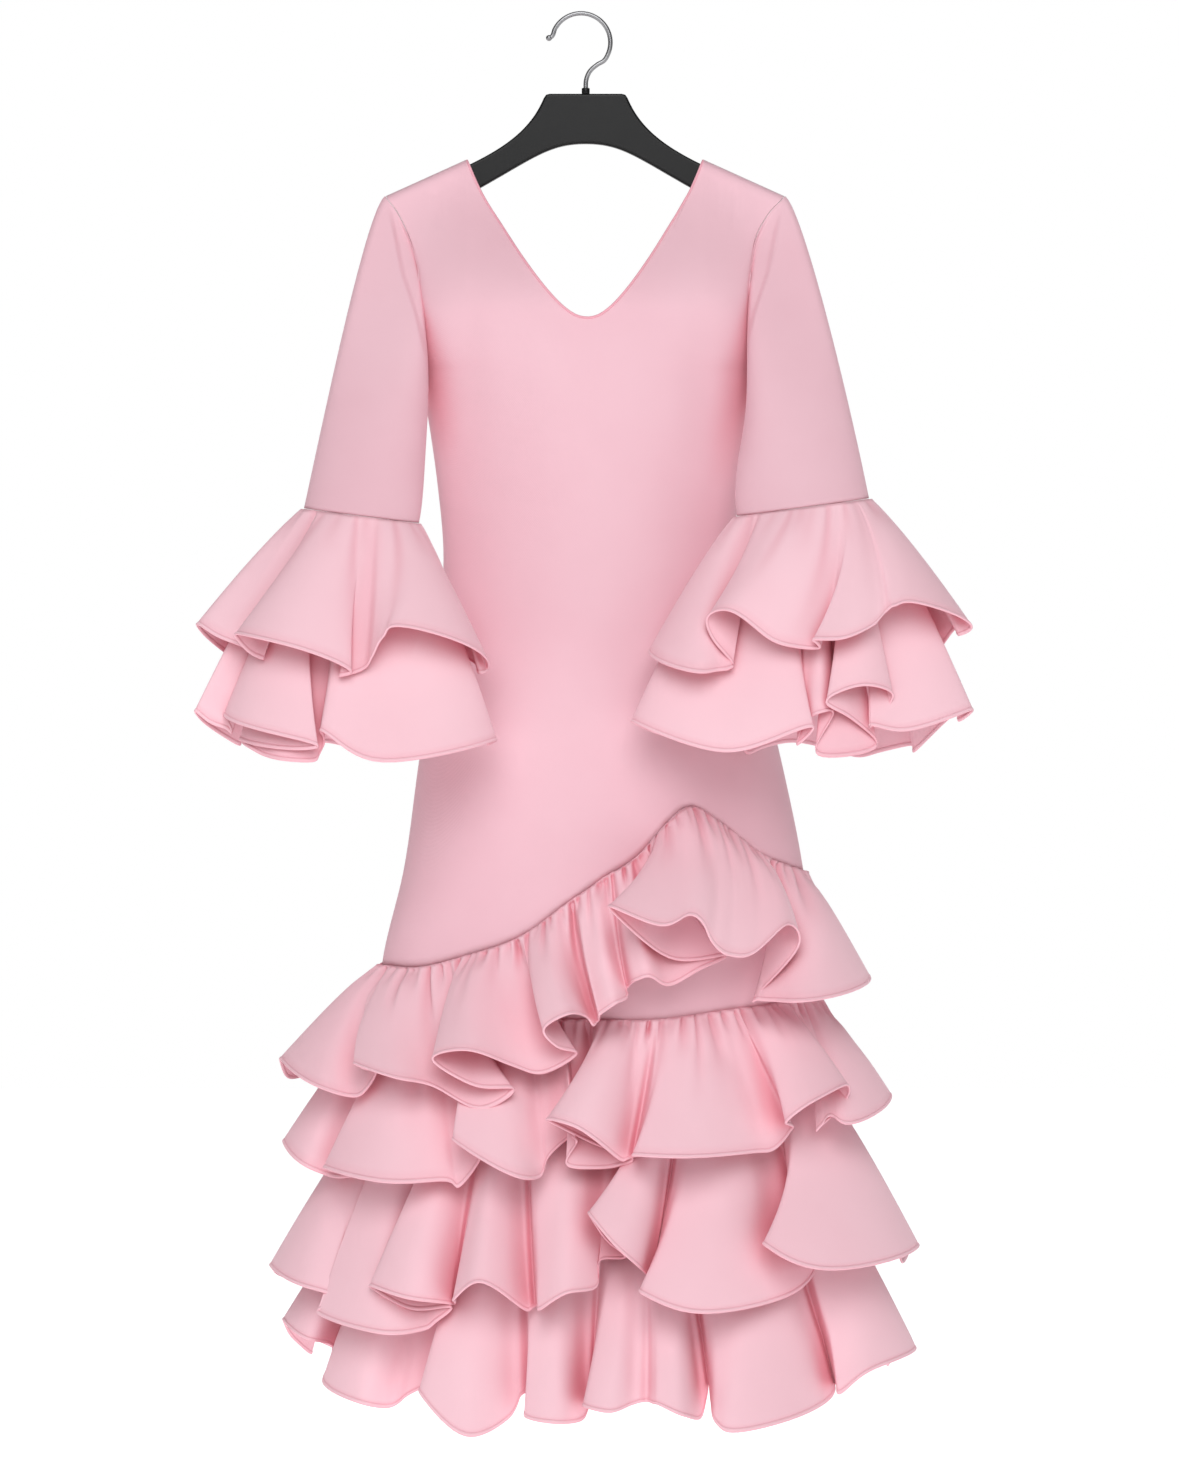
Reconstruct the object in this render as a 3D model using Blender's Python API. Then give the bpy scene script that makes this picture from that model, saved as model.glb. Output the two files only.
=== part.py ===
"""Flamenco dress on its hanger: the cut pieces, the flounces and what carries them.

Pattern sizes are millimetres on a flat pattern frame: x runs to the right of someone who
faces the dress, y runs away from them, and drop runs down. They are sizes of the outline
in the plane of the hanger. place() turns them to metres around the origin, the inside of
the hook's crown, where a rail carries the hanger.
"""

import math
from typing import NamedTuple

import bmesh
import bpy
from mathutils import Vector

MM = 0.001
ORIGIN_X = -4.0  # the hook's crown, left of the hanger's middle line
ORIGIN_DROP = -2.4  # the inside of the crown, above the pattern's zero
SIGHT_DISTANCE = 5.8  # metres from which the outline's sizes were taken, straight in front
SIGHT_X = 0.0085
SIGHT_Z = -0.7214

WALL = 1.2
SEAM_GAP = 0.3
FLOUNCE_LIFT = 2.6  # outer face of a flounce at its seam, proud of the cloth it is sewn on
FLARE_POWER = 0.85  # below 1 the gathers puff out just under the seam

PINK = (0.93, 0.62, 0.68, 1.0)
PALE_PINK = (0.95, 0.66, 0.72, 1.0)
BLACK = (0.015, 0.015, 0.016, 1.0)
STEEL = (0.52, 0.52, 0.53, 1.0)


class Section(NamedTuple):
    """One level of the body: its side lines and its half depth."""

    drop: float
    left: float
    right: float
    depth: float


class Knot(NamedTuple):
    """One place on a line that is read by its x."""

    x: float
    drop: float


class Fold(NamedTuple):
    """One fold of a flounce, seen from the front, with the tuck that follows it.

    seam is where its left flank leaves the seam. reach and tuck are how far the crest and
    the tuck stand out from the cloth that the flounce is sewn on. lap is below a half where
    the next fold lies over this one, and above it where this one lies over the next.
    """

    seam: float
    left: float
    left_drop: float
    crest: float
    crest_drop: float
    right: float
    right_drop: float
    tuck_x: float
    tuck_drop: float
    reach: float
    tuck: float
    lap: float = 0.25


class BackFolds(NamedTuple):
    """The even row of folds round a flounce's back, from its right side to its left.

    narrow is how much less the crests reach at the right side than at the left.
    """

    count: int
    right_drop: float
    left_drop: float
    wave: float
    reach: float
    tuck: float
    narrow: float = 0.0


class BackTurn(NamedTuple):
    """One of the turning points that each of the even folds round the back has.

    share is its place along the fold's stretch of seam, bend shifts it sideways by a share
    of the fold, out is 0 in the tuck and 1 at the crest, and lift lowers it by the wave.
    """

    share: float
    bend: float
    out: float
    lift: float


class Turn(NamedTuple):
    """A turning point of a hem, with the place on the seam that it hangs from."""

    seam_angle: float
    angle: float
    out: float
    drop: float


# --- The body: side lines, half depths and edges ---------------------------------------
BODY = (
    Section(140.0, -199.0, 199.0, 78.0),
    Section(178.0, -199.0, 199.0, 78.0),
    Section(193.0, -188.0, 185.0, 78.0),
    Section(213.0, -178.0, 173.0, 79.0),
    Section(245.0, -168.0, 166.0, 80.0),
    Section(300.0, -165.0, 164.0, 82.0),
    Section(350.0, -165.0, 170.0, 82.0),
    Section(412.0, -155.0, 163.0, 79.0),
    Section(462.0, -148.0, 156.0, 75.0),
    Section(540.0, -141.5, 149.5, 72.0),
    Section(640.0, -151.0, 171.0, 82.0),
    Section(750.0, -167.0, 198.0, 95.0),
    Section(850.0, -181.0, 218.0, 103.0),
    Section(946.0, -203.0, 229.0, 108.0),
    Section(1020.0, -208.0, 235.0, 112.0),
    Section(1120.0, -215.0, 243.0, 117.0),
    Section(1240.0, -223.0, 251.0, 122.0),
    Section(1320.0, -228.0, 256.0, 124.0),
)
ARMPIT_DROP = 350.0
ARMHOLE_DEPTH = 40.0  # how far the armhole's front edge stands before the side line
ARMHOLE_SKEW = 0.8  # below 1 its deepest place is above the middle
ARMHOLE_FULLNESS = 0.7  # below 1 it is rounder than a sine
SHOULDER_X = 199.0
SHOULDER_DROP = 178.0
NECK_X = 119.0
NECK_LIP = 2.0  # the first step in from the neck point, while the edge turns over the ridge
NECK_TOP = 141.8
RIDGE = 8.5  # how far the cloth rounds over the hanger at the shoulder
CHEST_FALL = 150.0  # below the shoulder line, where the cloth has reached its full depth
NECKLINE = (
    Knot(0.0, 0.0),
    Knot(0.09, 0.16),
    Knot(0.30, 0.43),
    Knot(0.48, 0.64),
    Knot(0.66, 0.82),
    Knot(0.80, 0.93),
    Knot(0.91, 0.985),
    Knot(1.0, 1.0),
)  # share of the way in to the middle, share of the way down
NECK_BOTTOM = 301.0
NECK_MIDDLE = 2.5
BACK_NECK_EXTRA = 4.0

HALVINGS = 40  # rounds of finding where a column meets the top edge
PANEL_OUTER_COLUMNS = 4
PANEL_NECK_COLUMNS = 10
YOKE_ROWS = (0.0, 0.03, 0.09, 0.22, 0.40, 0.60, 0.81, 1.0)
PANEL_LOWER_ROWS = 6
BINDING_GAP = 1.0
BINDING_WIDTH = 2.6
BINDING_PROUD = 0.3

# --- The seams that carry the flounces, left side to right side -------------------------
SEAM_1 = (
    Knot(-204.0, 946.0),
    Knot(-170.0, 949.0),
    Knot(-110.0, 935.0),
    Knot(-65.0, 919.0),
    Knot(15.0, 862.0),
    Knot(55.0, 835.0),
    Knot(80.0, 806.0),
    Knot(102.0, 788.0),
    Knot(130.0, 801.0),
    Knot(175.0, 836.0),
    Knot(218.0, 853.0),
)
SEAM_2 = (Knot(-207.0, 1000.0), Knot(12.0, 1001.0), Knot(115.0, 995.0), Knot(233.0, 978.0))
SEAM_3 = (Knot(-213.0, 1092.0), Knot(-60.0, 1108.0), Knot(115.0, 1098.0), Knot(240.0, 1062.0))
SEAM_4 = (Knot(-220.0, 1180.0), Knot(-60.0, 1228.0), Knot(115.0, 1222.0), Knot(247.0, 1172.0))
SETTLE_STEPS = 6  # rounds of finding a seam's level at an angle
UNDERSKIRT_END = 12.0  # below the last seam
UNDERSKIRT_ROWS = 3

# --- The flounces' folds, left to right across the front --------------------------------
FLOUNCE_1 = (
    Fold(-204, -306, 1040, -252, 1066, -211, 1058, -214, 1068, 94, 60),
    Fold(-176, -231, 1046, -185, 1061, -148, 1070, -112, 1082, 92, 60),
    Fold(-112, -154, 1042, -118, 1032, -70, 1048, -54, 1053, 98, 48),
    Fold(-50, -42, 1012, -17, 996, 12, 1004, 12, 1002, 92, 44),
    Fold(0, 18, 993, 32, 985, 44, 972, 60, 962, 70, 42),
    Fold(35, 78, 966, 108, 957, 143, 942, 100, 928, 66, 44),
    Fold(62, 21, 887, 75, 906, 126, 914, 122, 930, 104, 90, 0.5),
    Fold(128, 126, 931, 170, 937, 208, 907, 178, 955, 94, 44, 0.75),
    Fold(187, 168, 980, 215, 983, 284, 957, 258, 975, 84, 42),
)
FLOUNCE_2 = (
    Fold(-207, -303, 1123, -270, 1152, -240, 1159, -240, 1163, 88, 56),
    Fold(-186, -262, 1150, -195, 1166, -137, 1163, -126, 1166, 88, 44),
    Fold(-116, -132, 1123, -66, 1159, -8, 1124, -18, 1146, 84, 40),
    Fold(-10, -4, 1148, 18, 1150, 46, 1142, 18, 1128, 52, 42),
    Fold(12, -38, 1100, 8, 1126, 45, 1140, 50, 1130, 88, 40),
    Fold(73, 50, 1138, 112, 1140, 183, 1135, 206, 1112, 88, 42),
    Fold(154, 200, 1104, 228, 1084, 262, 1067, 244, 1100, 90, 50, 0.75),
    Fold(208, 247, 1098, 268, 1106, 307, 1076, 282, 1095, 80, 40),
)
FLOUNCE_3 = (
    Fold(-213, -316, 1247, -288, 1267, -257, 1276, -258, 1281, 94, 74),
    Fold(-190, -267, 1297, -205, 1316, -163, 1312, -172, 1300, 92, 52),
    Fold(-145, -217, 1267, -178, 1281, -136, 1286, -132, 1290, 96, 46),
    Fold(-97, -134, 1284, -104, 1264, -55, 1292, -49, 1288, 92, 38),
    Fold(-54, -45, 1291, -19, 1276, 12, 1270, 22, 1240, 82, 36),
    Fold(48, 2, 1194, 33, 1230, 64, 1257, 62, 1260, 90, 40),
    Fold(96, 56, 1276, 115, 1296, 205, 1275, 226, 1250, 92, 40),
    Fold(190, 177, 1226, 248, 1256, 335, 1227, 302, 1240, 94, 52),
)
FLOUNCE_4 = (
    Fold(-220, -303, 1301, -276, 1322, -249, 1323, -252, 1332, 76, 34),
    Fold(-196, -261, 1367, -222, 1386, -194, 1389, -180, 1374, 76, 30),
    Fold(-122, -165, 1377, -123, 1419, -73, 1400, -68, 1378, 86, 30),
    Fold(-54, -60, 1400, -28, 1406, 0, 1402, 6, 1384, 78, 30),
    Fold(46, -2, 1388, 56, 1385, 115, 1401, 122, 1376, 90, 32),
    Fold(106, 131, 1406, 164, 1413, 252, 1380, 248, 1368, 92, 32),
    Fold(206, 255, 1375, 290, 1351, 332, 1330, 300, 1340, 80, 32),
)
BACK_1 = BackFolds(6, 985.0, 1066.0, 12.0, 92.0, 56.0, 36.0)
BACK_2 = BackFolds(7, 1100.0, 1146.0, 12.0, 82.0, 48.0)
BACK_3 = BackFolds(6, 1246.0, 1266.0, 12.0, 86.0, 54.0)
BACK_4 = BackFolds(6, 1352.0, 1338.0, 14.0, 66.0, 34.0)
BACK_TURNS = (
    BackTurn(0.28, -0.06, 0.5, 0.0),
    BackTurn(0.5, 0.0, 1.0, -1.0),
    BackTurn(0.72, 0.06, 0.5, 0.0),
    BackTurn(1.0, 0.0, 0.0, 1.0),
)
UNEVEN = (0.0, 0.12, -0.08, 0.05, -0.12, -0.04, -0.1)  # shifts of the back folds
TURNS_IN_FOLD = 4  # the left flank, the crest, the right flank and the tuck
LEFT_SHARE = 0.2  # of a front fold's stretch of seam, where its left flank hangs from
CREST_SHARE = 0.5
RIGHT_SHARE = 0.8
LAST_SHARE = 0.96  # of a back fold's stretch of seam, where its tuck hangs from
SIDE_BLEND = 0.75  # how far the tuck at each side swings out with the fold beside it
SIDE_TUCK_TURN = 0.05  # how far past the right side its tuck lies, in radians
BODY_LAP_STEP = 0.04  # the least turn from one turning point to the next, in radians
CUFF_LAP_STEP = 0.08
SIDE_SINE = 0.995  # the most that a fold in front may turn to the side
FLOUNCE_SHARES = (0.0, 0.5, 1.0)  # the rows of a flounce, from seam to hem


class Cuff(NamedTuple):
    """A sleeve's end ring and the way its flounces swing out below it."""

    middle: float
    forward: float
    half_width: float
    half_depth: float
    drop: float
    tilt: float
    swing_x: float
    swing_y: float


CUFF_GAP = 0.4  # more room under the sleeve's end
CUFF_RIGHT = Cuff(-223.5, -105.0, 57.5, 37.0, 497.5, 0.13, -0.115, -0.12)
CUFF_LEFT = Cuff(218.0, -105.0, 66.0, 38.0, 489.0, -0.136, 0.02, -0.12)
CUFF_DEPTH_SHARE = 0.62  # of a cuff flounce's reach, towards the front and the back
SLEEVE_ROWS = 6
SLEEVE_TOP = (0.05, -0.01, -0.03)  # how the cap leaves the armhole, for each length
SLEEVE_UNDER = (0.12, -0.10, -0.20)  # and the underarm
SLEEVE_FALL = 0.38  # how strongly it comes down straight onto the cuff
SLEEVE_GAP = 0.75  # from the armhole's edge points, so that the walls are clear
UNDERARM_LEAN = 0.5  # how far the wall leans outwards at the underarm

UPPER_RIGHT = (
    Fold(-281, -389, 606, -364, 622, -344, 630, -344, 632, 78, 52),
    Fold(-266, -350, 615, -288, 630, -233, 653, -238, 655, 92, 52),
    Fold(-222, -222, 646, -177, 609, -92, 649, -122, 640, 90, 52),
)
LOWER_RIGHT = (
    Fold(-281, -391, 693, -374, 706, -356, 712, -352, 716, 58, 36),
    Fold(-268, -363, 696, -300, 716, -265, 729, -256, 734, 60, 36),
    Fold(-232, -263, 713, -200, 745, -87, 723, -122, 730, 60, 36),
)
UPPER_LEFT = (
    Fold(152, 63, 634, 105, 653, 147, 649, 136, 640, 94, 54),
    Fold(176, 120, 602, 163, 614, 235, 630, 233, 630, 94, 54),
    Fold(256, 228, 622, 258, 623, 284, 610, 290, 603, 84, 66),
    Fold(270, 298, 595, 333, 585, 390, 607, 352, 625, 84, 54),
)
LOWER_LEFT = (
    Fold(152, 47, 704, 150, 735, 223, 709, 226, 728, 60, 32),
    Fold(250, 240, 684, 275, 668, 307, 676, 292, 722, 62, 34, 0.75),
    Fold(268, 287, 704, 330, 712, 390, 693, 355, 712, 58, 34),
)
BACK_UPPER_RIGHT = BackFolds(3, 640.0, 636.0, 6.0, 80.0, 54.0)
BACK_LOWER_RIGHT = BackFolds(3, 735.0, 726.0, 6.0, 56.0, 34.0)
BACK_UPPER_LEFT = BackFolds(3, 638.0, 640.0, 6.0, 80.0, 54.0)
BACK_LOWER_LEFT = BackFolds(3, 730.0, 722.0, 6.0, 56.0, 34.0)

# --- The hanger -------------------------------------------------------------------------
HANGER_MIDDLE = 0.7
HANGER_TOP = 76.0
HANGER_TOP_HALF = 38.0
HANGER_NECK = Knot(42.0, 80.5)
HANGER_NECK_PULL = Knot(54.0, 109.0)  # the curve's handles, from the neck to the shoulder
HANGER_SHOULDER_PULL = Knot(76.0, 127.5)
HANGER_SHOULDER = Knot(118.0, 147.6)
HANGER_TIP_TOP = Knot(180.0, 177.5)
HANGER_TIP = Knot(187.0, 186.0)
HANGER_TIP_UNDER = Knot(181.0, 196.0)
HANGER_ARM_UNDER = Knot(107.0, 171.0)
HANGER_ARM_PULL = Knot(50.0, 139.0)  # the handles of the curve under the arm
HANGER_CROTCH_PULL = Knot(36.0, 126.0)
HANGER_CROTCH = Knot(0.0, 126.0)
HANGER_STEPS = 6  # straight runs in each curve
HANGER_THICKNESS = 10.0
HANGER_ROUNDING = 2.4
HANGER_EDGE_ANGLE = 50.0  # corners flatter than this stay as they are
WIRE = 2.3
HOOK_MIDDLE = Knot(-4.0, 24.5)
HOOK_HALF_WIDTH = 29.4
HOOK_HALF_HEIGHT = 29.2
HOOK_FROM = 152.0
HOOK_TO = -38.0
HOOK_STEPS = 14
HOOK_TIP = (Knot(-36.0, 20.0), Knot(-33.4, 18.6))
HOOK_NECK = (Knot(12.5, 46.5), Knot(4.4, 54.0), Knot(1.2, 62.0), Knot(0.7, 69.0))
HOOK_BALL = 3.1
COLLAR_RADIUS = 4.0
COLLAR_TOP = 70.0
COLLAR_SIDES = 20


def place(x, y, drop):
    """A pattern point as a point of the model, in metres.

    What stands nearer than the hanger's plane is drawn in towards the line of sight, so
    that the outline keeps the pattern's sizes.
    """
    nearer = 1.0 + min(y * MM, 0.0) / SIGHT_DISTANCE
    right = SIGHT_X + ((x - ORIGIN_X) * MM - SIGHT_X) * nearer
    up = SIGHT_Z + ((ORIGIN_DROP - drop) * MM - SIGHT_Z) * nearer
    return Vector((right, y * MM, up))


def mix(start, end, share):
    """The value a share of the way from start to end."""
    return start + (end - start) * share


def smooth(share):
    """A share eased at both ends."""
    share = min(max(share, 0.0), 1.0)
    return share * share * (3.0 - 2.0 * share)


def read_table(rows, key, column):
    """A column of a table whose first column rises, at key, by straight lines."""
    if key <= rows[0][0]:
        return rows[0][column]
    for low, high in zip(rows, rows[1:]):
        if key <= high[0]:
            return mix(low[column], high[column], (key - low[0]) / (high[0] - low[0]))
    return rows[-1][column]


class Trunk:
    """The body as a stack of ellipses, in an angle round it and a distance out from it."""

    lap_step = BODY_LAP_STEP

    def half_width(self, drop):
        """Half the width at a level."""
        return (read_table(BODY, drop, 2) - read_table(BODY, drop, 1)) / 2.0

    def middle(self, drop):
        """The middle of the width at a level."""
        return (read_table(BODY, drop, 2) + read_table(BODY, drop, 1)) / 2.0

    def point(self, angle, out, drop):
        """The point at an angle, 0 in front and rising to the right."""
        x = self.middle(drop) + (self.half_width(drop) + out) * math.sin(angle)
        y = -(read_table(BODY, drop, 3) + out) * math.cos(angle)
        return place(x, y, drop)

    def angle_and_out(self, x, out, drop):
        """The angle in front for an x, and the reach, more where the x lies further out."""
        return angle_at(x - self.middle(drop), self.half_width(drop), out)


class CuffTrunk:
    """A sleeve's end carried on downwards, for the flounces that hang from it."""

    lap_step = CUFF_LAP_STEP

    def __init__(self, cuff):
        """Keep the sizes of the cuff."""
        self.cuff = cuff

    def fall(self, drop):
        """How far a level lies below the cuff's seam."""
        return max(drop - self.cuff.drop, 0.0)

    def middle(self, drop):
        """The middle of the width at a level."""
        return self.cuff.middle + self.cuff.swing_x * self.fall(drop)

    def point(self, angle, out, drop):
        """The point at an angle, 0 in front and rising to the right."""
        x = self.middle(drop) + (self.cuff.half_width + out) * math.sin(angle)
        y = self.cuff.forward + self.cuff.swing_y * self.fall(drop)
        y -= (self.cuff.half_depth + CUFF_DEPTH_SHARE * out) * math.cos(angle)
        return place(x, y, drop)

    def angle_and_out(self, x, out, drop):
        """The angle in front for an x, and the reach, more where the x lies further out."""
        return angle_at(x - self.middle(drop), self.cuff.half_width, out)

    def seam_drop(self, angle):
        """The level of the slanting seam at an angle."""
        slope = self.cuff.tilt * self.cuff.half_width * math.sin(angle)
        return self.cuff.drop + CUFF_GAP + slope


def angle_at(x, half_width, out):
    """The angle whose sine puts x on the ring, with the ring widened where it must be."""
    if abs(x) > SIDE_SINE * (half_width + out):
        out = abs(x) / SIDE_SINE - half_width
    return math.asin(x / (half_width + out)), out


def trunk_seam(rows):
    """A seam round the body: its front table, closed by an even slope round the back."""
    trunk = Trunk()

    def drop_at(angle):
        """The level of the seam at an angle."""
        angle = (angle + math.pi / 2.0) % (2.0 * math.pi) - math.pi / 2.0
        if angle > math.pi / 2.0:
            return mix(rows[-1].drop, rows[0].drop, smooth(angle / math.pi - 0.5))
        drop = mix(rows[0].drop, rows[-1].drop, 0.5)
        for _ in range(SETTLE_STEPS):
            x = trunk.middle(drop) + trunk.half_width(drop) * math.sin(angle)
            drop = read_table(rows, x, 1)
        return drop

    return drop_at


def turning_points(trunk, folds, back, seam_drop):
    """Every turning point of a flounce's hem, once round from the left side of the front."""
    starts = [trunk.angle_and_out(fold.seam, 0.0, seam_drop(0.0))[0] for fold in folds]
    starts.append(math.pi / 2.0)
    turns = []
    before = folds[-1]
    for fold, start, end in zip(folds, starts, starts[1:]):
        places = (
            (LEFT_SHARE, fold.left, fold.left_drop, mix(fold.reach, before.tuck, before.lap)),
            (CREST_SHARE, fold.crest, fold.crest_drop, fold.reach),
            (RIGHT_SHARE, fold.right, fold.right_drop, mix(fold.tuck, fold.reach, fold.lap)),
            (1.0, fold.tuck_x, fold.tuck_drop, fold.tuck),
        )
        before = fold
        for share, x, drop, out in places:
            angle, out = trunk.angle_and_out(x, out, drop)
            turns.append(Turn(mix(start, end, share), angle, out, drop))
    last = turns.pop()
    side_out = mix(last.out, turns[-1].out, SIDE_BLEND)
    turns.append(Turn(last.seam_angle, math.pi / 2.0 + SIDE_TUCK_TURN, side_out, last.drop))
    pitch = math.pi / back.count
    for number in range(back.count):
        shift = UNEVEN[number % len(UNEVEN)] * pitch
        start = math.pi / 2.0 + number * pitch
        level = mix(back.right_drop, back.left_drop, (number + 0.5) / back.count)
        crest = back.reach - back.narrow * (1.0 - (number + 0.5) / back.count)
        for turn in BACK_TURNS:
            angle = start + (turn.share + turn.bend) * pitch + shift
            reach = mix(min(back.tuck, crest), crest, turn.out)
            seam_angle = start + min(turn.share, LAST_SHARE) * pitch
            turns.append(Turn(seam_angle, angle, reach, level + turn.lift * back.wave))
    last = turns.pop()
    side_out = mix(last.out, turns[0].out, SIDE_BLEND)
    turns.append(Turn(last.seam_angle, last.angle, side_out, last.drop))
    return in_order(turns, trunk.lap_step)


def in_order(turns, step):
    """The turning points with their angles evened out where a fold would lap back.

    Neighbours that run backwards share their mean angle and then stand a step apart, so
    that a lapped fold becomes a steep rise and the wall never crosses itself.
    """
    groups = []
    for index, turn in enumerate(turns):
        groups.append((turn.angle - index * step, 1))
        while len(groups) > 1 and groups[-1][0] < groups[-2][0]:
            (first, some), (second, more) = groups[-2:]
            groups[-2:] = [((first * some + second * more) / (some + more), some + more)]
    angles = [angle for angle, count in groups for _ in range(count)]
    return [
        turn._replace(angle=angle + index * step)
        for index, (turn, angle) in enumerate(zip(turns, angles))
    ]


def curve_between(turns, index, share):
    """A smooth curve through the turning points, a share of the way past one of them."""
    count = len(turns)
    values = []
    for step in (-1, 0, 1, 2):
        turn = turns[(index + step) % count]
        lap = 2.0 * math.pi * ((index + step) // count)
        values.append((turn.seam_angle + lap, turn.angle + lap, turn.out, turn.drop))
    result = []
    for before, start, end, after in zip(*values):
        leave = (end - before) / 2.0
        arrive = (after - start) / 2.0
        square = share * share
        cube = square * share
        result.append(
            (2.0 * cube - 3.0 * square + 1.0) * start
            + (cube - 2.0 * square + share) * leave
            + (3.0 * square - 2.0 * cube) * end
            + (cube - square) * arrive
        )
    seam_angle = mix(values[1][0], values[2][0], share)
    return Turn(seam_angle, result[1], result[2], result[3])


def flounce_rows(trunk, turns, seam_drop, first_out, front_count):
    """The rows of points of a flounce, from its seam to its hem, once round."""
    hem = []
    for index in range(len(turns)):
        hem.append(curve_between(turns, index, 0.0))
        if index < front_count and index % TURNS_IN_FOLD != TURNS_IN_FOLD - 1:
            hem.append(curve_between(turns, index, 0.5))
    rows = []
    for share in FLOUNCE_SHARES:
        row = []
        for turn in hem:
            top = seam_drop(turn.seam_angle) + SEAM_GAP
            out = mix(first_out, turn.out, share**FLARE_POWER)
            angle = mix(turn.seam_angle, turn.angle, share)
            row.append(trunk.point(angle, out, mix(top, turn.drop, share)))
        rows.append(row)
    inward = [
        (trunk.point(turn.seam_angle, first_out - WALL, seam_drop(turn.seam_angle) + SEAM_GAP) - point)
        for turn, point in zip(hem, rows[0])
    ]
    return rows, inward


def outward(rows, row, column, ring):
    """The outward normal of a grid of points that runs down its rows."""
    last = len(rows[0]) - 1
    if ring:
        before = rows[row][column - 1]
        after = rows[row][(column + 1) % (last + 1)]
    else:
        before = rows[row][max(column - 1, 0)]
        after = rows[row][min(column + 1, last)]
    above = rows[max(row - 1, 0)][column]
    below = rows[min(row + 1, len(rows) - 1)][column]
    return (below - above).cross(after - before).normalized()


def material(name, colour, roughness, metallic):
    """A plain surface with its own colour."""
    surface = bpy.data.materials.new(name)
    surface.use_nodes = True
    shader = surface.node_tree.nodes["Principled BSDF"]
    shader.inputs["Base Color"].default_value = colour
    shader.inputs["Roughness"].default_value = roughness
    shader.inputs["Metallic"].default_value = metallic
    return surface


def add_object(name, mesh, surface, is_round=True):
    """Put a finished mesh into the scene under its own name."""
    mesh.materials.append(surface)
    if is_round:
        mesh.shade_smooth()
    piece = bpy.data.objects.new(name, mesh)
    bpy.context.scene.collection.objects.link(piece)
    return piece


def split(quad, rows):
    """Two triangles of a grid's quad, cut along its shorter diagonal."""
    first, second, third, fourth = quad
    across = (rows[first[0]][first[1]] - rows[third[0]][third[1]]).length
    other = (rows[second[0]][second[1]] - rows[fourth[0]][fourth[1]]).length
    if across < other:
        return (first, second, third), (first, third, fourth)
    return (first, second, fourth), (second, third, fourth)


def cloth(name, rows, surface, ring=False, inward=None):
    """A wall of cloth: a grid of points as its outer face, closed by an inner one.

    inward gives the step to the inner face for some (row, column) places, such as those
    along a seam, where two pieces must end face to face.
    """
    inward = inward or {}
    bottom = len(rows) - 1
    width = len(rows[0])
    faces_across = width if ring else width - 1
    build = bmesh.new()
    outer = []
    inner = []
    for row, points in enumerate(rows):
        outer.append([build.verts.new(point) for point in points])
        line = []
        for column, point in enumerate(points):
            step = inward.get((row, column))
            if step is None:
                step = -WALL * MM * outward(rows, row, column, ring)
            line.append(build.verts.new(point + step))
        inner.append(line)
    for row in range(bottom):
        for column in range(faces_across):
            after = (column + 1) % width
            quad = ((row, column), (row + 1, column), (row + 1, after), (row, after))
            for corners in split(quad, rows):
                build.faces.new([outer[r][c] for r, c in corners])
                build.faces.new([inner[r][c] for r, c in reversed(corners)])
    for column in range(faces_across):
        after = (column + 1) % width
        build.faces.new((outer[0][column], outer[0][after], inner[0][after], inner[0][column]))
        build.faces.new(
            (outer[bottom][after], outer[bottom][column], inner[bottom][column], inner[bottom][after])
        )
    if not ring:
        for row in range(bottom):
            build.faces.new((outer[row + 1][0], outer[row][0], inner[row][0], inner[row + 1][0]))
            build.faces.new((outer[row][-1], outer[row + 1][-1], inner[row + 1][-1], inner[row][-1]))
    mesh = bpy.data.meshes.new(name)
    build.to_mesh(mesh)
    build.free()
    return add_object(name, mesh, surface)


def shoulder_line(x):
    """The level of the shoulder seam at an x, carried on level past the neck."""
    reach = min(max((abs(x) - NECK_X) / (SHOULDER_X - NECK_X), 0.0), 1.0)
    return mix(NECK_TOP, SHOULDER_DROP, reach)


def top_line(x, neck_bottom):
    """The level of a panel's top edge: the shoulder, or the neckline between them."""
    if abs(x) >= NECK_X:
        return shoulder_line(x)
    side = -NECK_X if x < NECK_MIDDLE else NECK_X
    inner = (x - side) / (NECK_MIDDLE - side)
    return mix(NECK_TOP, neck_bottom, read_table(NECKLINE, inner, 1))


def panel_point(angle, drop, facing):
    """A point of the front (facing -1) or back (facing 1) panel, on the outer face."""
    trunk = Trunk()
    x = trunk.middle(drop) + trunk.half_width(drop) * math.sin(angle)
    depth = read_table(BODY, drop, 3)
    edge = 0.0
    if drop < ARMPIT_DROP:
        share = (drop - SHOULDER_DROP) / (ARMPIT_DROP - SHOULDER_DROP)
        share = min(max(share, 0.0), 1.0) ** ARMHOLE_SKEW
        edge = ARMHOLE_DEPTH * math.sin(math.pi * share) ** ARMHOLE_FULLNESS
    below = drop - shoulder_line(x)
    ease = smooth(below / CHEST_FALL)
    ridge = RIDGE * math.sqrt(max(0.0, 1.0 - (1.0 - min(below / RIDGE, 1.0)) ** 2))
    full = mix(edge, depth, max(math.cos(angle), 0.0))
    y = max(mix(ridge, full, ease), SEAM_GAP / 2.0)
    return place(x, facing * y, drop)


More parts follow.
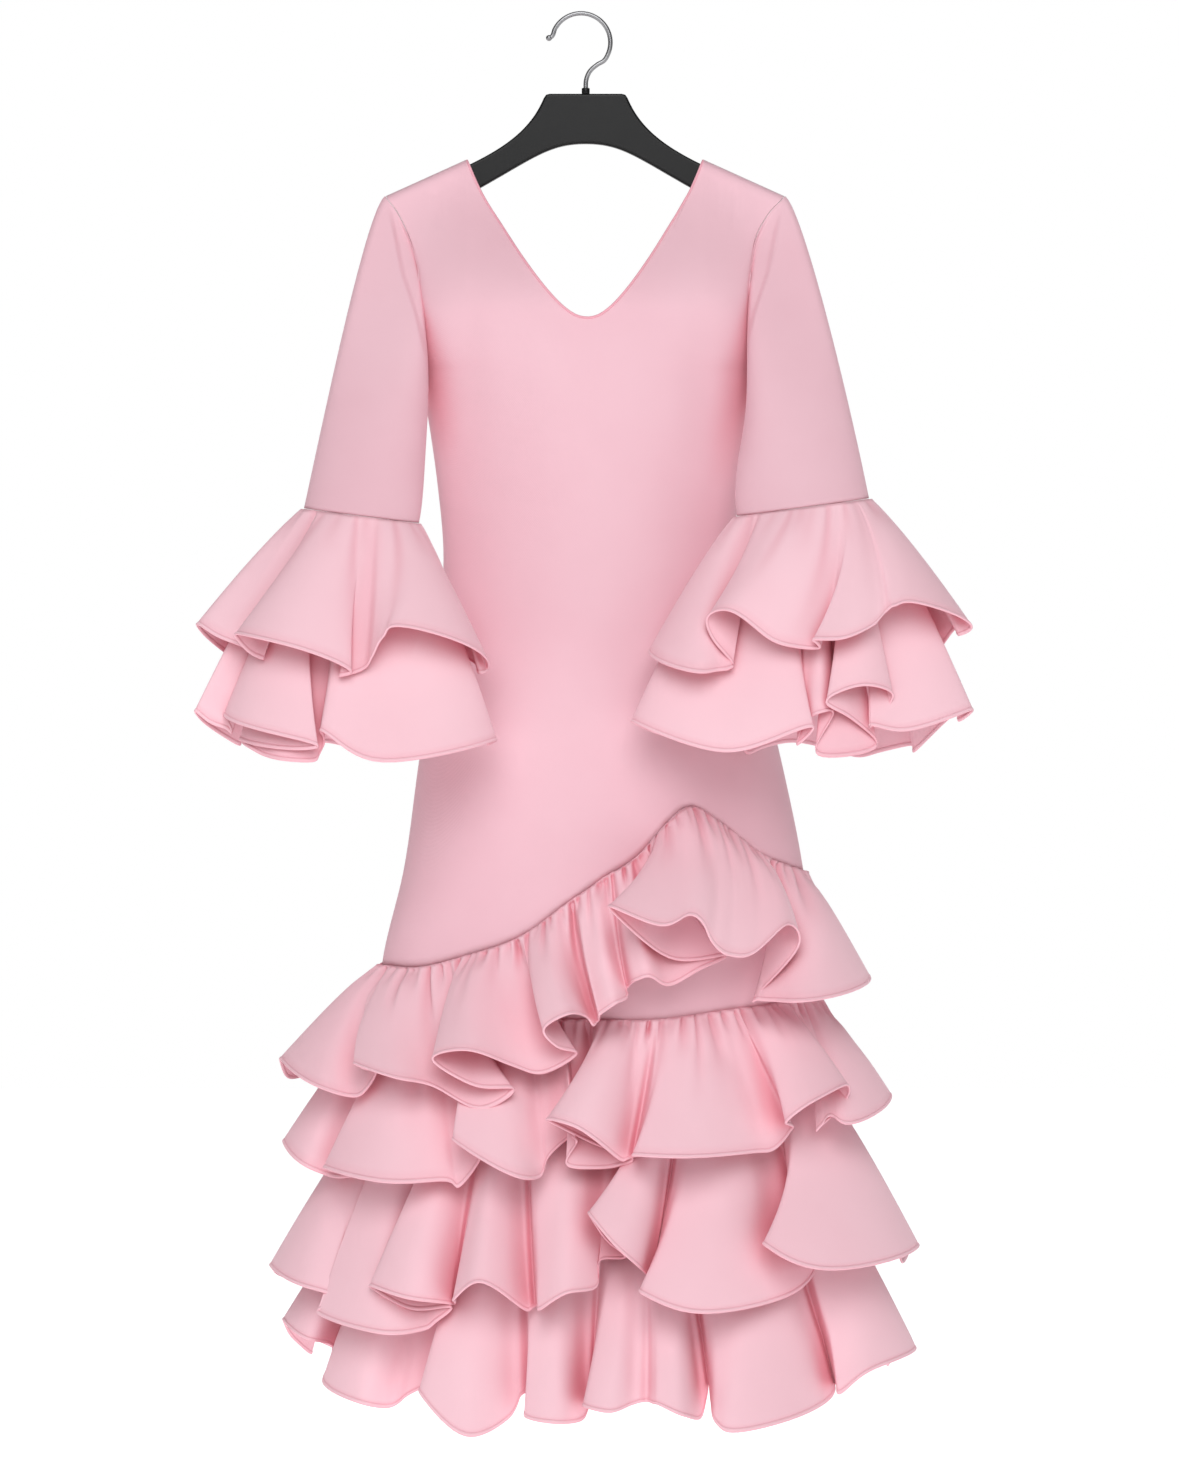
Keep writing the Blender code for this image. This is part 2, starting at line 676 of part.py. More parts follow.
def panel_angles():
    """The angles of a panel's columns, with one at each end of the neckline."""
    neck = math.asin(NECK_X / SHOULDER_X)
    side = math.pi / 2.0
    angles = [mix(-side, -neck, n / PANEL_OUTER_COLUMNS) for n in range(PANEL_OUTER_COLUMNS)]
    angles.append(-neck)
    inner = math.asin((NECK_X - NECK_LIP) / SHOULDER_X)
    steps = PANEL_NECK_COLUMNS - 2
    angles += [mix(-inner, inner, n / steps) for n in range(steps + 1)]
    angles += [mix(neck, side, n / PANEL_OUTER_COLUMNS) for n in range(PANEL_OUTER_COLUMNS + 1)]
    return angles


def top_drop(angle, neck_bottom):
    """Where a panel's column starts: the level at which it meets the top edge."""
    trunk = Trunk()
    low = NECK_TOP
    high = neck_bottom + 1.0
    for _ in range(HALVINGS):
        drop = (low + high) / 2.0
        x = trunk.middle(drop) + trunk.half_width(drop) * math.sin(angle)
        if drop < top_line(x, neck_bottom):
            low = drop
        else:
            high = drop
    return (low + high) / 2.0


def panel_rows(facing, seam_drop):
    """The rows of points of the front or back panel, from its top edge to its lower seam."""
    neck_bottom = NECK_BOTTOM + (BACK_NECK_EXTRA if facing > 0 else 0.0)
    columns = []
    for angle in panel_angles():
        top = top_drop(angle, neck_bottom)
        end = seam_drop(angle if facing < 0 else math.pi - angle)
        drops = [mix(top, ARMPIT_DROP, share) for share in YOKE_ROWS]
        drops += [
            mix(ARMPIT_DROP, end, (n + 1) / PANEL_LOWER_ROWS) for n in range(PANEL_LOWER_ROWS)
        ]
        columns.append([panel_point(angle, drop, facing) for drop in drops])
    rows = [list(row) for row in zip(*columns)]
    if facing > 0:
        rows = [row[::-1] for row in rows]
    return rows


def panel_inward(rows):
    """Steps to the inner face along a panel's shoulders and side seams."""
    step = WALL * MM
    last = len(rows[0]) - 1
    steps = {}
    for column in range(PANEL_OUTER_COLUMNS + 1):
        steps[(0, column)] = Vector((0.0, 0.0, -step))
        steps[(0, last - column)] = Vector((0.0, 0.0, -step))
    left_side = rows[-1][0].x < rows[-1][-1].x
    for row in range(len(YOKE_ROWS) - 1, len(rows)):
        steps[(row, 0)] = Vector((step if left_side else -step, 0.0, 0.0))
        steps[(row, last)] = Vector((-step if left_side else step, 0.0, 0.0))
    return steps


def build_panels(surface, seam_drop):
    """The front and the back, which meet at the shoulders and down the sides."""
    front = panel_rows(-1, seam_drop)
    back = panel_rows(1, seam_drop)
    cloth("front", front, surface, inward=panel_inward(front))
    cloth("back", back, surface, inward=panel_inward(back))
    return front, back


def build_binding(front, back, surface):
    """The narrow binding round the neckline, made from the panels' own edge points."""
    first = PANEL_OUTER_COLUMNS
    last = PANEL_OUTER_COLUMNS + PANEL_NECK_COLUMNS
    points = []
    normals = []
    for rows in (front, back):
        for column in range(first, last):
            points.append(rows[0][column].copy())
            normals.append(outward(rows, 0, column, False))
    for corner in (0, last - first):
        points[corner].y = 0.0
        normals[corner] = Vector((0.0, 0.0, 1.0))
    edge = []
    for index, point in enumerate(points):
        along = points[(index + 1) % len(points)] - points[index - 1]
        edge.append((point, along.cross(normals[index]).normalized(), normals[index]))
    build = bmesh.new()
    loops = []
    near = BINDING_GAP * MM
    far = near + BINDING_WIDTH * MM
    for point, below, normal in edge:
        proud = normal * BINDING_PROUD * MM
        back_face = -normal * (WALL + BINDING_PROUD) * MM
        corners = (
            point - below * near + proud,
            point - below * far + proud,
            point - below * far + back_face,
            point - below * near + back_face,
        )
        loops.append([build.verts.new(corner) for corner in corners])
    for index, loop in enumerate(loops):
        after = loops[(index + 1) % len(loops)]
        for corner in range(4):
            turn = (corner + 1) % 4
            build.faces.new((loop[corner], after[corner], after[turn], loop[turn]))
    bmesh.ops.recalc_face_normals(build, faces=build.faces)
    mesh = bpy.data.meshes.new("neck_binding")
    build.to_mesh(mesh)
    build.free()
    return add_object("neck_binding", mesh, surface)


def build_underskirt(surface, top_seam, last_seam):
    """The plain skirt that carries the lower flounces, in two halves with side seams."""
    trunk = Trunk()
    for name, facing in (("skirt_front", -1), ("skirt_back", 1)):
        columns = []
        for angle in panel_angles():
            turned = angle if facing < 0 else math.pi - angle
            top = top_seam(turned) + SEAM_GAP
            end = last_seam(turned) + UNDERSKIRT_END
            column = []
            for number in range(UNDERSKIRT_ROWS + 1):
                point = trunk.point(turned, 0.0, mix(top, end, number / UNDERSKIRT_ROWS))
                point.y = facing * max(abs(point.y), SEAM_GAP * MM / 2.0)
                column.append(point)
            columns.append(column)
        rows = [list(row) for row in zip(*columns)]
        if facing > 0:
            rows = [row[::-1] for row in rows]
        steps = {
            (row, column): Vector((math.copysign(WALL * MM, -rows[row][column].x), 0.0, 0.0))
            for row in range(len(rows))
            for column in (0, len(rows[0]) - 1)
        }
        cloth(name, rows, surface, inward=steps)


def build_sleeve(name, cuff, front, back, surface):
    """A bell sleeve, from the armhole's edge points to the ring of its cuff."""
    side = math.copysign(1.0, cuff.middle)
    column = 0 if side < 0 else len(front[0]) - 1
    last = len(YOKE_ROWS) - 1
    armhole = [front[row][column] for row in range(last + 1)]
    armhole += [back[row][-1 - column] for row in range(last - 1, 0, -1)]
    lift = Vector((side * SLEEVE_GAP * MM, 0.0, 0.0))
    starts = [point + lift for point in armhole]
    starts[0].y = 0.0
    starts[last].y = 0.0
    count = len(starts)
    ends = []
    for number in range(count):
        turn = 2.0 * math.pi * number / count
        x = side * cuff.half_width * math.cos(turn)
        drop = cuff.drop + cuff.tilt * x
        ends.append(place(cuff.middle + x, cuff.forward - cuff.half_depth * math.sin(turn), drop))
    heart = sum(starts, Vector()) / count
    middle = sum(ends, Vector()) / count
    fall = (middle - heart).normalized()
    rows = []
    for step in range(SLEEVE_ROWS + 1):
        share = step / SLEEVE_ROWS
        row = []
        for number, (start, end) in enumerate(zip(starts, ends)):
            length = (end - start).length
            under = (1.0 - math.cos(2.0 * math.pi * number / count)) / 2.0
            leave = Vector(mix(top, low, under) for top, low in zip(SLEEVE_TOP, SLEEVE_UNDER))
            leave.x *= side
            control = (start, start + leave * length, end - fall * length * SLEEVE_FALL, end)
            row.append(bezier(control, share))
        rows.append(row)
    step_in = {}
    for number in range(count):
        along = starts[(number + 1) % count] - starts[number - 1]
        inward = Vector((0.0, -along.z, along.y))
        if inward.dot(heart - starts[number]) < 0.0:
            inward.negate()
        if number == last:
            inward.x = side * UNDERARM_LEAN * abs(inward.z)
        step_in[(0, number)] = inward.normalized() * WALL * MM
        level = middle - ends[number]
        level.z = 0.0
        step_in[(SLEEVE_ROWS, number)] = level.normalized() * WALL * MM
    if side > 0:
        rows = [[row[0]] + row[:0:-1] for row in rows]
        step_in = {(row, (count - n) % count): step for (row, n), step in step_in.items()}
    cloth(name, rows, surface, ring=True, inward=step_in)


def bezier(control, share):
    """The point a share of the way along a cubic curve of four control points."""
    rest = 1.0 - share
    return (
        control[0] * rest**3
        + control[1] * 3.0 * rest * rest * share
        + control[2] * 3.0 * rest * share * share
        + control[3] * share**3
    )


def build_flounce(name, trunk, folds, back, seam_drop, first_out, surface):
    """A gathered flounce, once round, from its seam to its hem."""
    turns = turning_points(trunk, folds, back, seam_drop)
    front_count = TURNS_IN_FOLD * len(folds)
    rows, inward = flounce_rows(trunk, turns, seam_drop, first_out, front_count)
    steps = {(0, column): step for column, step in enumerate(inward)}
    cloth(name, rows, surface, ring=True, inward=steps)


def flat_curve(control, steps):
    """Points along a cubic curve of the hanger's outline, without its last point."""
    control = [Vector((knot.x, knot.drop)) for knot in control]
    return [bezier(control, step / steps) for step in range(steps)]


def hanger_half():
    """Half of the hanger's outline, from the top's middle round to the crotch."""
    outline = [Vector((HANGER_TOP_HALF, HANGER_TOP))]
    outline += flat_curve(
        (HANGER_NECK, HANGER_NECK_PULL, HANGER_SHOULDER_PULL, HANGER_SHOULDER), HANGER_STEPS
    )
    outline += [Vector((knot.x, knot.drop)) for knot in (HANGER_SHOULDER, HANGER_TIP_TOP, HANGER_TIP)]
    outline.append(Vector((HANGER_TIP_UNDER.x, HANGER_TIP_UNDER.drop)))
    outline += flat_curve(
        (HANGER_ARM_UNDER, HANGER_ARM_PULL, HANGER_CROTCH_PULL, HANGER_CROTCH), HANGER_STEPS
    )
    return outline


def build_hanger(surface):
    """The flat moulded hanger, with softly rounded edges."""
    half = hanger_half()
    crotch = Vector((HANGER_CROTCH.x, HANGER_CROTCH.drop))
    outline = half + [crotch] + [Vector((-point.x, point.y)) for point in reversed(half)]
    build = bmesh.new()
    depth = HANGER_THICKNESS / 2.0
    corners = [build.verts.new(place(HANGER_MIDDLE + p.x, -depth, p.y)) for p in outline]
    face = build.faces.new(corners)
    sweep = bmesh.ops.extrude_face_region(build, geom=[face])
    moved = [item for item in sweep["geom"] if isinstance(item, bmesh.types.BMVert)]
    bmesh.ops.translate(build, verts=moved, vec=(0.0, HANGER_THICKNESS * MM, 0.0))
    bmesh.ops.recalc_face_normals(build, faces=build.faces)
    mesh = bpy.data.meshes.new("hanger")
    build.to_mesh(mesh)
    build.free()
    piece = add_object("hanger", mesh, surface, is_round=False)
    rounding = piece.modifiers.new("rounded edges", "BEVEL")
    rounding.width = HANGER_ROUNDING * MM
    rounding.segments = 2
    rounding.limit_method = "ANGLE"
    rounding.angle_limit = math.radians(HANGER_EDGE_ANGLE)


def hook_route():
    """The middle line of the hook's wire, from its ball tip to its foot."""
    route = [place(knot.x, 0.0, knot.drop) for knot in HOOK_TIP]
    for step in range(HOOK_STEPS + 1):
        turn = math.radians(mix(HOOK_FROM, HOOK_TO, step / HOOK_STEPS))
        x = HOOK_MIDDLE.x + HOOK_HALF_WIDTH * math.cos(turn)
        route.append(place(x, 0.0, HOOK_MIDDLE.drop - HOOK_HALF_HEIGHT * math.sin(turn)))
    route += [place(knot.x, 0.0, knot.drop) for knot in HOOK_NECK]
    return route


def build_hook(surface):
    """The wire hook with its ball tip, one solid."""
    route = hook_route()
    line = bpy.data.curves.new("hook", "CURVE")
    line.dimensions = "3D"
    line.bevel_depth = WIRE * MM
    line.bevel_resolution = 2
    line.use_fill_caps = True
    spline = line.splines.new("POLY")
    spline.points.add(len(route) - 1)
    for place_on_line, point in zip(spline.points, route):
        place_on_line.co = (*point, 1.0)
    piece = bpy.data.objects.new("hook", line)
    bpy.context.scene.collection.objects.link(piece)
    line.materials.append(surface)
    build = bmesh.new()
    bmesh.ops.create_icosphere(build, subdivisions=2, radius=HOOK_BALL * MM)
    bmesh.ops.translate(build, verts=build.verts, vec=route[0])
    ball_mesh = bpy.data.meshes.new("hook_ball")
    build.to_mesh(ball_mesh)
    build.free()
    depsgraph = bpy.context.evaluated_depsgraph_get()
    wire_mesh = bpy.data.meshes.new_from_object(piece.evaluated_get(depsgraph))
    bpy.data.objects.remove(piece)
    ball = bpy.data.objects.new("hook_ball", ball_mesh)
    ball.hide_render = True
    ball.display_type = "WIRE"
    bpy.context.scene.collection.objects.link(ball)
    hook = bpy.data.objects.new("hook", wire_mesh)
    wire_mesh.shade_smooth()
    bpy.context.scene.collection.objects.link(hook)
    join = hook.modifiers.new("ball tip", "BOOLEAN")
    join.operation = "UNION"
    join.object = ball


def build_collar(surface):
    """The small round collar where the wire enters the hanger."""
    build = bmesh.new()
    height = HANGER_TOP - SEAM_GAP - COLLAR_TOP
    bmesh.ops.create_cone(
        build,
        cap_ends=True,
        segments=COLLAR_SIDES,
        radius1=COLLAR_RADIUS * MM,
        radius2=COLLAR_RADIUS * MM,
        depth=height * MM,
    )
    middle = place(HANGER_MIDDLE, 0.0, COLLAR_TOP + height / 2.0)
    bmesh.ops.translate(build, verts=build.verts, vec=middle)
    mesh = bpy.data.meshes.new("hook_collar")
    build.to_mesh(mesh)
    build.free()
    add_object("hook_collar", mesh, surface, is_round=False)


def build():
    """Clear the scene and build the dress and its hanger."""
    for item in list(bpy.data.objects):
        bpy.data.objects.remove(item)
    crepe = material("dress_crepe", PINK, 0.85, 0.0)
    edging = material("neck_edging", PALE_PINK, 0.8, 0.0)
    plastic = material("hanger_plastic", BLACK, 0.35, 0.0)
    steel = material("hook_steel", STEEL, 0.3, 1.0)
    seams = [trunk_seam(rows) for rows in (SEAM_1, SEAM_2, SEAM_3, SEAM_4)]
    front, back = build_panels(crepe, seams[0])
    build_binding(front, back, edging)
    build_underskirt(crepe, seams[0], seams[3])
    tables = ((FLOUNCE_1, BACK_1), (FLOUNCE_2, BACK_2), (FLOUNCE_3, BACK_3), (FLOUNCE_4, BACK_4))
    for number, (folds, around) in enumerate(tables):
        seam = seams[number]
        build_flounce(f"flounce_{number + 1}", Trunk(), folds, around, seam, FLOUNCE_LIFT, crepe)
    cuffs = (
        ("right", CUFF_RIGHT, UPPER_RIGHT, BACK_UPPER_RIGHT, LOWER_RIGHT, BACK_LOWER_RIGHT),
        ("left", CUFF_LEFT, UPPER_LEFT, BACK_UPPER_LEFT, LOWER_LEFT, BACK_LOWER_LEFT),
    )
    for side, cuff, upper, upper_back, lower, lower_back in cuffs:
        build_sleeve(f"sleeve_{side}", cuff, front, back, crepe)
        trunk = CuffTrunk(cuff)
        seam = trunk.seam_drop
        build_flounce(f"cuff_upper_{side}", trunk, upper, upper_back, seam, FLOUNCE_LIFT, crepe)
        build_flounce(f"cuff_lower_{side}", trunk, lower, lower_back, seam, 0.0, crepe)
    build_hanger(plastic)
    build_hook(steel)
    build_collar(plastic)


build()
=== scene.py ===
"""A flamenco dress on its hanger: the finished cloth, hems, gathers, hanger and hook.

Pattern sizes are millimetres on a flat pattern frame: x runs to the right of someone who
faces the dress, y runs away from them, and drop runs down. place() turns them to metres
around the origin, the inside of the hook's crown.
"""

from __future__ import annotations

import logging
import math
from dataclasses import dataclass, field
from enum import Enum
from typing import Callable, NamedTuple, Sequence

import bpy
import numpy as np
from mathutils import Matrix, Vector


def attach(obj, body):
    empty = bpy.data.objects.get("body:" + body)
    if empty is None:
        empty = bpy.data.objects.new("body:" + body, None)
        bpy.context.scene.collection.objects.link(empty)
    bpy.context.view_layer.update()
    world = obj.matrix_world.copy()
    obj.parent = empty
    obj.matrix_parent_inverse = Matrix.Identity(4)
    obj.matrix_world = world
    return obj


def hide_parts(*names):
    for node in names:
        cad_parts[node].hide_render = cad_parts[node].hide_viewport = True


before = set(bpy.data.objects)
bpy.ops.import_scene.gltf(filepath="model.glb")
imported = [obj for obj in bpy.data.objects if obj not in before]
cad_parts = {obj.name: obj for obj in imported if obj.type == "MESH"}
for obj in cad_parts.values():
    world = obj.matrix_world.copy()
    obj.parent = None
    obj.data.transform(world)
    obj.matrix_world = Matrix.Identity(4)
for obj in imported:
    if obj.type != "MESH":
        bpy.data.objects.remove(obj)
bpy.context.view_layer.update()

LOG = logging.getLogger("flamenco_dress")
MM = 0.001

ORIGIN_X = -4.0
ORIGIN_DROP = -2.4
VIEW_DISTANCE = 5.8
VIEW_X = 0.0085
VIEW_Z = -0.7214
VIEW_HEIGHT = 1.474
SENSOR = 36.0

WALL = 1.2
SEAM_GAP = 0.3
FLOUNCE_LIFT = 2.6
FLARE_POWER = 0.85
HALF_TURN = math.pi
QUARTER_TURN = math.pi / 2.0
FULL_TURN = 2.0 * math.pi
SIDE_MARGIN = 1e-4

Array = np.ndarray
Curve = Callable[[Array], Array]
Colour = tuple[float, float, float, float]
Spot = tuple[float, float, float]


class Side(Enum):
    """The wearer's side of a sleeve; its value is the direction of x."""

    RIGHT = -1.0
    LEFT = 1.0


class Facing(Enum):
    """The side of the body that a panel covers; its value is the direction of y."""

    FRONT = -1.0
    BACK = 1.0


class Held(Enum):
    """How a cut piece of cloth is held."""

    HUNG = "hung"
    GATHERED = "gathered"


class Slot(Enum):
    """The record's material slots."""

    CREPE = "dress_crepe"
    EDGING = "neck_edging"
    PLASTIC = "hanger_plastic"
    STEEL = "hook_steel"


@dataclass(frozen=True)
class Section:
    """One level of the body: its side lines and its half depth."""

    drop: float
    left: float
    right: float
    depth: float


@dataclass(frozen=True)
class Knot:
    """One place on a line."""

    x: float
    drop: float


def knots(*places: tuple[float, float]) -> tuple[Knot, ...]:
    """Make a line's knots from pairs of x and drop."""
    return tuple(Knot(x, drop) for x, drop in places)


@dataclass(frozen=True)
class Fold:
    """One fold of a flounce, seen from the front, with the tuck that follows it.

    seam is where it leaves the seam. The hem runs through left, crest and right, dips on
    its way into the tuck, and comes back to the next fold's left. reach and deep are how
    far the crest and the tuck stand out. lap is below a half where the next fold lies over
    this one.
    """

    seam: float
    left: float
    left_drop: float
    crest: float
    crest_drop: float
    right: float
    right_drop: float
    dip: float
    dip_drop: float
    tuck: float
    tuck_drop: float
    back: float
    back_drop: float
    reach: float
    deep: float
    lap: float = 0.25


@dataclass(frozen=True)
class BackFolds:
    """The row of folds round a flounce's back, from its right side to its left."""

    count: int
    right_drop: float
    left_drop: float
    wave: float
    reach: float
    deep: float
    curl: float = 0.35
    narrow: float = 0.0


class HemTurn(NamedTuple):
    """One turning point of a flounce's hem, and where its thread leaves the seam."""

    seam_angle: float
    angle: float
    reach: float
    drop: float


@dataclass(frozen=True)
class BackPoint:
    """One place on a back fold's hem: shares of its width, and its reach and lift."""

    share: float
    bend: float
    out: float
    lift: float


@dataclass(frozen=True)
class Gathers:
    """The small pleats that the stitching draws up under a seam.

    length is a share of the flounce's height. lengths, widths and depths are the least and
    the most of each pleat, as shares of length, pitch and depth.
    """

    pitch: float
    depth: float
    length: float
    scallop: float = 0.3
    lengths: tuple[float, float] = (0.5, 2.1)
    widths: tuple[float, float] = (0.17, 0.32)
    depths: tuple[float, float] = (0.55, 1.15)
    spread: float = 1.4


@dataclass(frozen=True)
class FlouncePattern:
    """How one flounce is cut, and how it falls.

    flat is the length and height of the strip that it is cut from and cut_area its own
    area, in metres. lift is how far it stands off what it is sewn to, in millimetres.
    """

    folds: tuple[Fold, ...]
    around: BackFolds
    flat: tuple[float, float]
    cut_area: float
    gathers: Gathers | None = None
    lift: float = FLOUNCE_LIFT


@dataclass(frozen=True)
class Crease:
    """A soft trough in a panel, along a line from top to bottom."""

    top_x: float
    top_drop: float
    low_x: float
    low_drop: float
    width: float
    depth: float


@dataclass(frozen=True)
class Cuff:
    """A sleeve's end ring, the way its flounces swing out below it, and their patterns."""

    middle: float
    forward: float
    half_width: float
    half_depth: float
    drop: float
    tilt: float
    swing_x: float
    swing_y: float
    upper: FlouncePattern
    lower: FlouncePattern


# --- Shared sizes of the body -----------------------------------------------------------
BODY = (
    Section(140, -199, 199, 78),
    Section(178, -199, 199, 78),
    Section(193, -188, 185, 78),
    Section(213, -178, 173, 79),
    Section(245, -168, 166, 80),
    Section(300, -165, 164, 82),
    Section(350, -165, 170, 82),
    Section(412, -155, 163, 79),
    Section(462, -148, 156, 75),
    Section(540, -141.5, 149.5, 72),
    Section(640, -151, 171, 82),
    Section(750, -167, 198, 95),
    Section(850, -181, 218, 103),
    Section(946, -203, 229, 108),
    Section(1020, -208, 235, 112),
    Section(1120, -215, 243, 117),
    Section(1240, -223, 251, 122),
    Section(1320, -228, 256, 124),
)
SEAM_LEFT = ((-204, 946), (-170, 949), (-110, 935), (-65, 919), (-20, 887), (15, 862))
SEAM_RIGHT = ((55, 835), (80, 806), (102, 788), (130, 801), (175, 836), (218, 853))
SEAMS = (
    knots(*SEAM_LEFT, *SEAM_RIGHT),
    knots((-207, 1000), (12, 1001), (70, 1001), (115, 995), (233, 978)),
    knots((-213, 1092), (-60, 1108), (115, 1098), (240, 1062)),
    knots((-220, 1180), (-60, 1228), (115, 1222), (247, 1172)),
)
NECK_TOP = ((0.0, 0.0), (0.09, 0.16), (0.30, 0.43), (0.48, 0.64))
NECK_LOW = ((0.66, 0.82), (0.80, 0.93), (0.91, 0.985), (1.0, 1.0))
NECKLINE = knots(*NECK_TOP, *NECK_LOW)

# --- The folds, left to right across the front ------------------------------------------
FOLDS_1 = (
    Fold(-204, -306, 1040, -270, 1068, -233, 1079, -219, 1072, -209, 1054, -220, 1052, 94, 60),
    Fold(-176, -231, 1046, -190, 1060, -152, 1068, -105, 1092, -70, 1072, -110, 1069, 92, 56),
    Fold(-112, -154, 1042, -118, 1032, -72, 1048, -42, 1056, -8, 1037, -28, 1030, 98, 50),
    Fold(-52, -42, 1012, -16, 996, 2, 999, 9, 1008, 13, 1003, 14, 999, 92, 46),
    Fold(-5, 16, 996, 31, 986, 42, 981, 42, 974, 43, 969, 47, 965, 72, 46),
    Fold(30, 53, 962, 66, 959, 85, 968, 115, 952, 142, 938, 83, 941, 68, 46),
    Fold(62, 21, 888, 75, 908, 104, 897, 118, 905, 126, 922, 134, 932, 106, 98, 0.5),
    Fold(126, 146, 938, 168, 936, 203, 906, 214, 930, 170, 980, 172, 982, 98, 48, 0.78),
    Fold(187, 185, 983, 235, 982, 284, 957, 272, 972, 258, 985, 258, 985, 86, 44),
)
FOLDS_2 = (
    Fold(-207, -303, 1123, -285, 1146, -258, 1158, -245, 1160, -232, 1158, -245, 1155, 88, 56),
    Fold(-186, -262, 1150, -200, 1165, -139, 1163, -125, 1169, -103, 1137, -118, 1128, 90, 46),
    Fold(-116, -132, 1123, -75, 1157, -45, 1160, -37, 1140, -17, 1121, -10, 1122, 86, 42),
    Fold(-20, -8, 1126, -18, 1148, 15, 1151, 35, 1148, 47, 1141, 5, 1125, 56, 42),
    Fold(8, -40, 1102, -8, 1110, 33, 1141, 42, 1142, 48, 1139, 50, 1139, 90, 44),
    Fold(73, 50, 1138, 105, 1140, 168, 1135, 190, 1132, 207, 1112, 205, 1108, 88, 44),
    Fold(154, 201, 1104, 228, 1084, 262, 1067, 262, 1082, 232, 1113, 238, 1106, 92, 54, 0.7),
    Fold(208, 246, 1098, 270, 1106, 307, 1076, 295, 1088, 282, 1095, 282, 1095, 80, 40),
)
FOLDS_3 = (
    Fold(-213, -316, 1247, -290, 1266, -257, 1276, -255, 1280, -250, 1284, -258, 1290, 94, 74),
    Fold(-190, -267, 1297, -205, 1316, -163, 1313, -150, 1305, -134, 1290, -175, 1292, 92, 54),
    Fold(-145, -217, 1268, -178, 1281, -138, 1286, -134, 1287, -131, 1286, -131, 1284, 96, 48),
    Fold(-97, -131, 1281, -104, 1264, -62, 1291, -54, 1292, -49, 1288, -47, 1290, 92, 40),
    Fold(-54, -45, 1292, -19, 1276, 12, 1270, 14, 1243, 40, 1240, 20, 1222, 84, 38),
    Fold(48, 2, 1194, 33, 1231, 62, 1257, 66, 1262, 64, 1268, 60, 1272, 92, 42),
    Fold(96, 56, 1276, 115, 1296, 195, 1282, 222, 1266, 230, 1248, 205, 1240, 94, 42),
    Fold(190, 177, 1226, 245, 1253, 335, 1227, 320, 1236, 302, 1240, 302, 1240, 96, 52),
)
FOLDS_4 = (
    Fold(-220, -303, 1301, -280, 1321, -256, 1326, -252, 1334, -254, 1345, -260, 1355, 76, 36),
    Fold(-196, -261, 1368, -225, 1386, -195, 1390, -178, 1378, -157, 1368, -160, 1372, 78, 32),
    Fold(-122, -165, 1377, -120, 1419, -76, 1401, -64, 1378, -53, 1376, -56, 1388, 88, 32),
    Fold(-54, -60, 1400, -28, 1406, -3, 1403, 4, 1390, 6, 1384, 2, 1386, 80, 32),
    Fold(20, -2, 1389, 25, 1395, 45, 1388, 54, 1385, 62, 1384, 68, 1386, 90, 62),
    Fold(62, 75, 1388, 98, 1398, 116, 1401, 122, 1380, 124, 1366, 126, 1385, 90, 34),
    Fold(106, 131, 1406, 160, 1414, 240, 1386, 250, 1374, 250, 1366, 252, 1370, 94, 34),
    Fold(206, 256, 1376, 290, 1351, 332, 1330, 315, 1336, 300, 1340, 300, 1340, 82, 34),
)
UPPER_RIGHT = (
    Fold(-281, -389, 606, -368, 619, -345, 628, -332, 634, -322, 642, -338, 634, 78, 54),
    Fold(-266, -351, 616, -300, 627, -234, 653, -246, 659, -222, 652, -213, 638, 94, 50),
    Fold(-207, -203, 620, -177, 609, -95, 648, -105, 656, -122, 642, -122, 642, 92, 54),
)
LOWER_RIGHT = (
    Fold(-281, -391, 693, -376, 705, -360, 711, -356, 714, -353, 716, -356, 708, 58, 38),
    Fold(-268, -362, 697, -312, 716, -266, 729, -300, 732, -345, 722, -335, 731, 62, 34, 0.75),
    Fold(-262, -322, 738, -300, 743, -272, 744, -266, 738, -262, 728, -262, 720, 40, 30),
    Fold(-240, -262, 714, -203, 745, -90, 723, -97, 728, -112, 733, -112, 733, 62, 36),
)
UPPER_LEFT = (
    Fold(152, 63, 634, 105, 654, 135, 653, 145, 651, 147, 646, 127, 622, 96, 54),
    Fold(176, 121, 600, 145, 593, 185, 622, 212, 630, 233, 631, 231, 626, 92, 58, 0.45),
    Fold(256, 228, 622, 258, 621, 288, 608, 296, 600, 301, 594, 305, 590, 86, 72, 0.4),
    Fold(270, 310, 588, 333, 585, 388, 608, 375, 618, 355, 625, 355, 625, 86, 56),
)
LOWER_LEFT = (
    Fold(152, 47, 704, 140, 735, 221, 710, 226, 716, 212, 728, 215, 716, 62, 32, 0.7),
    Fold(222, 221, 703, 236, 695, 249, 697, 232, 738, 292, 730, 268, 703, 46, 26),
    Fold(250, 240, 685, 275, 668, 306, 674, 306, 686, 290, 702, 285, 710, 64, 36, 0.7),
    Fold(268, 288, 708, 325, 713, 388, 692, 375, 704, 355, 712, 355, 712, 58, 34),
)
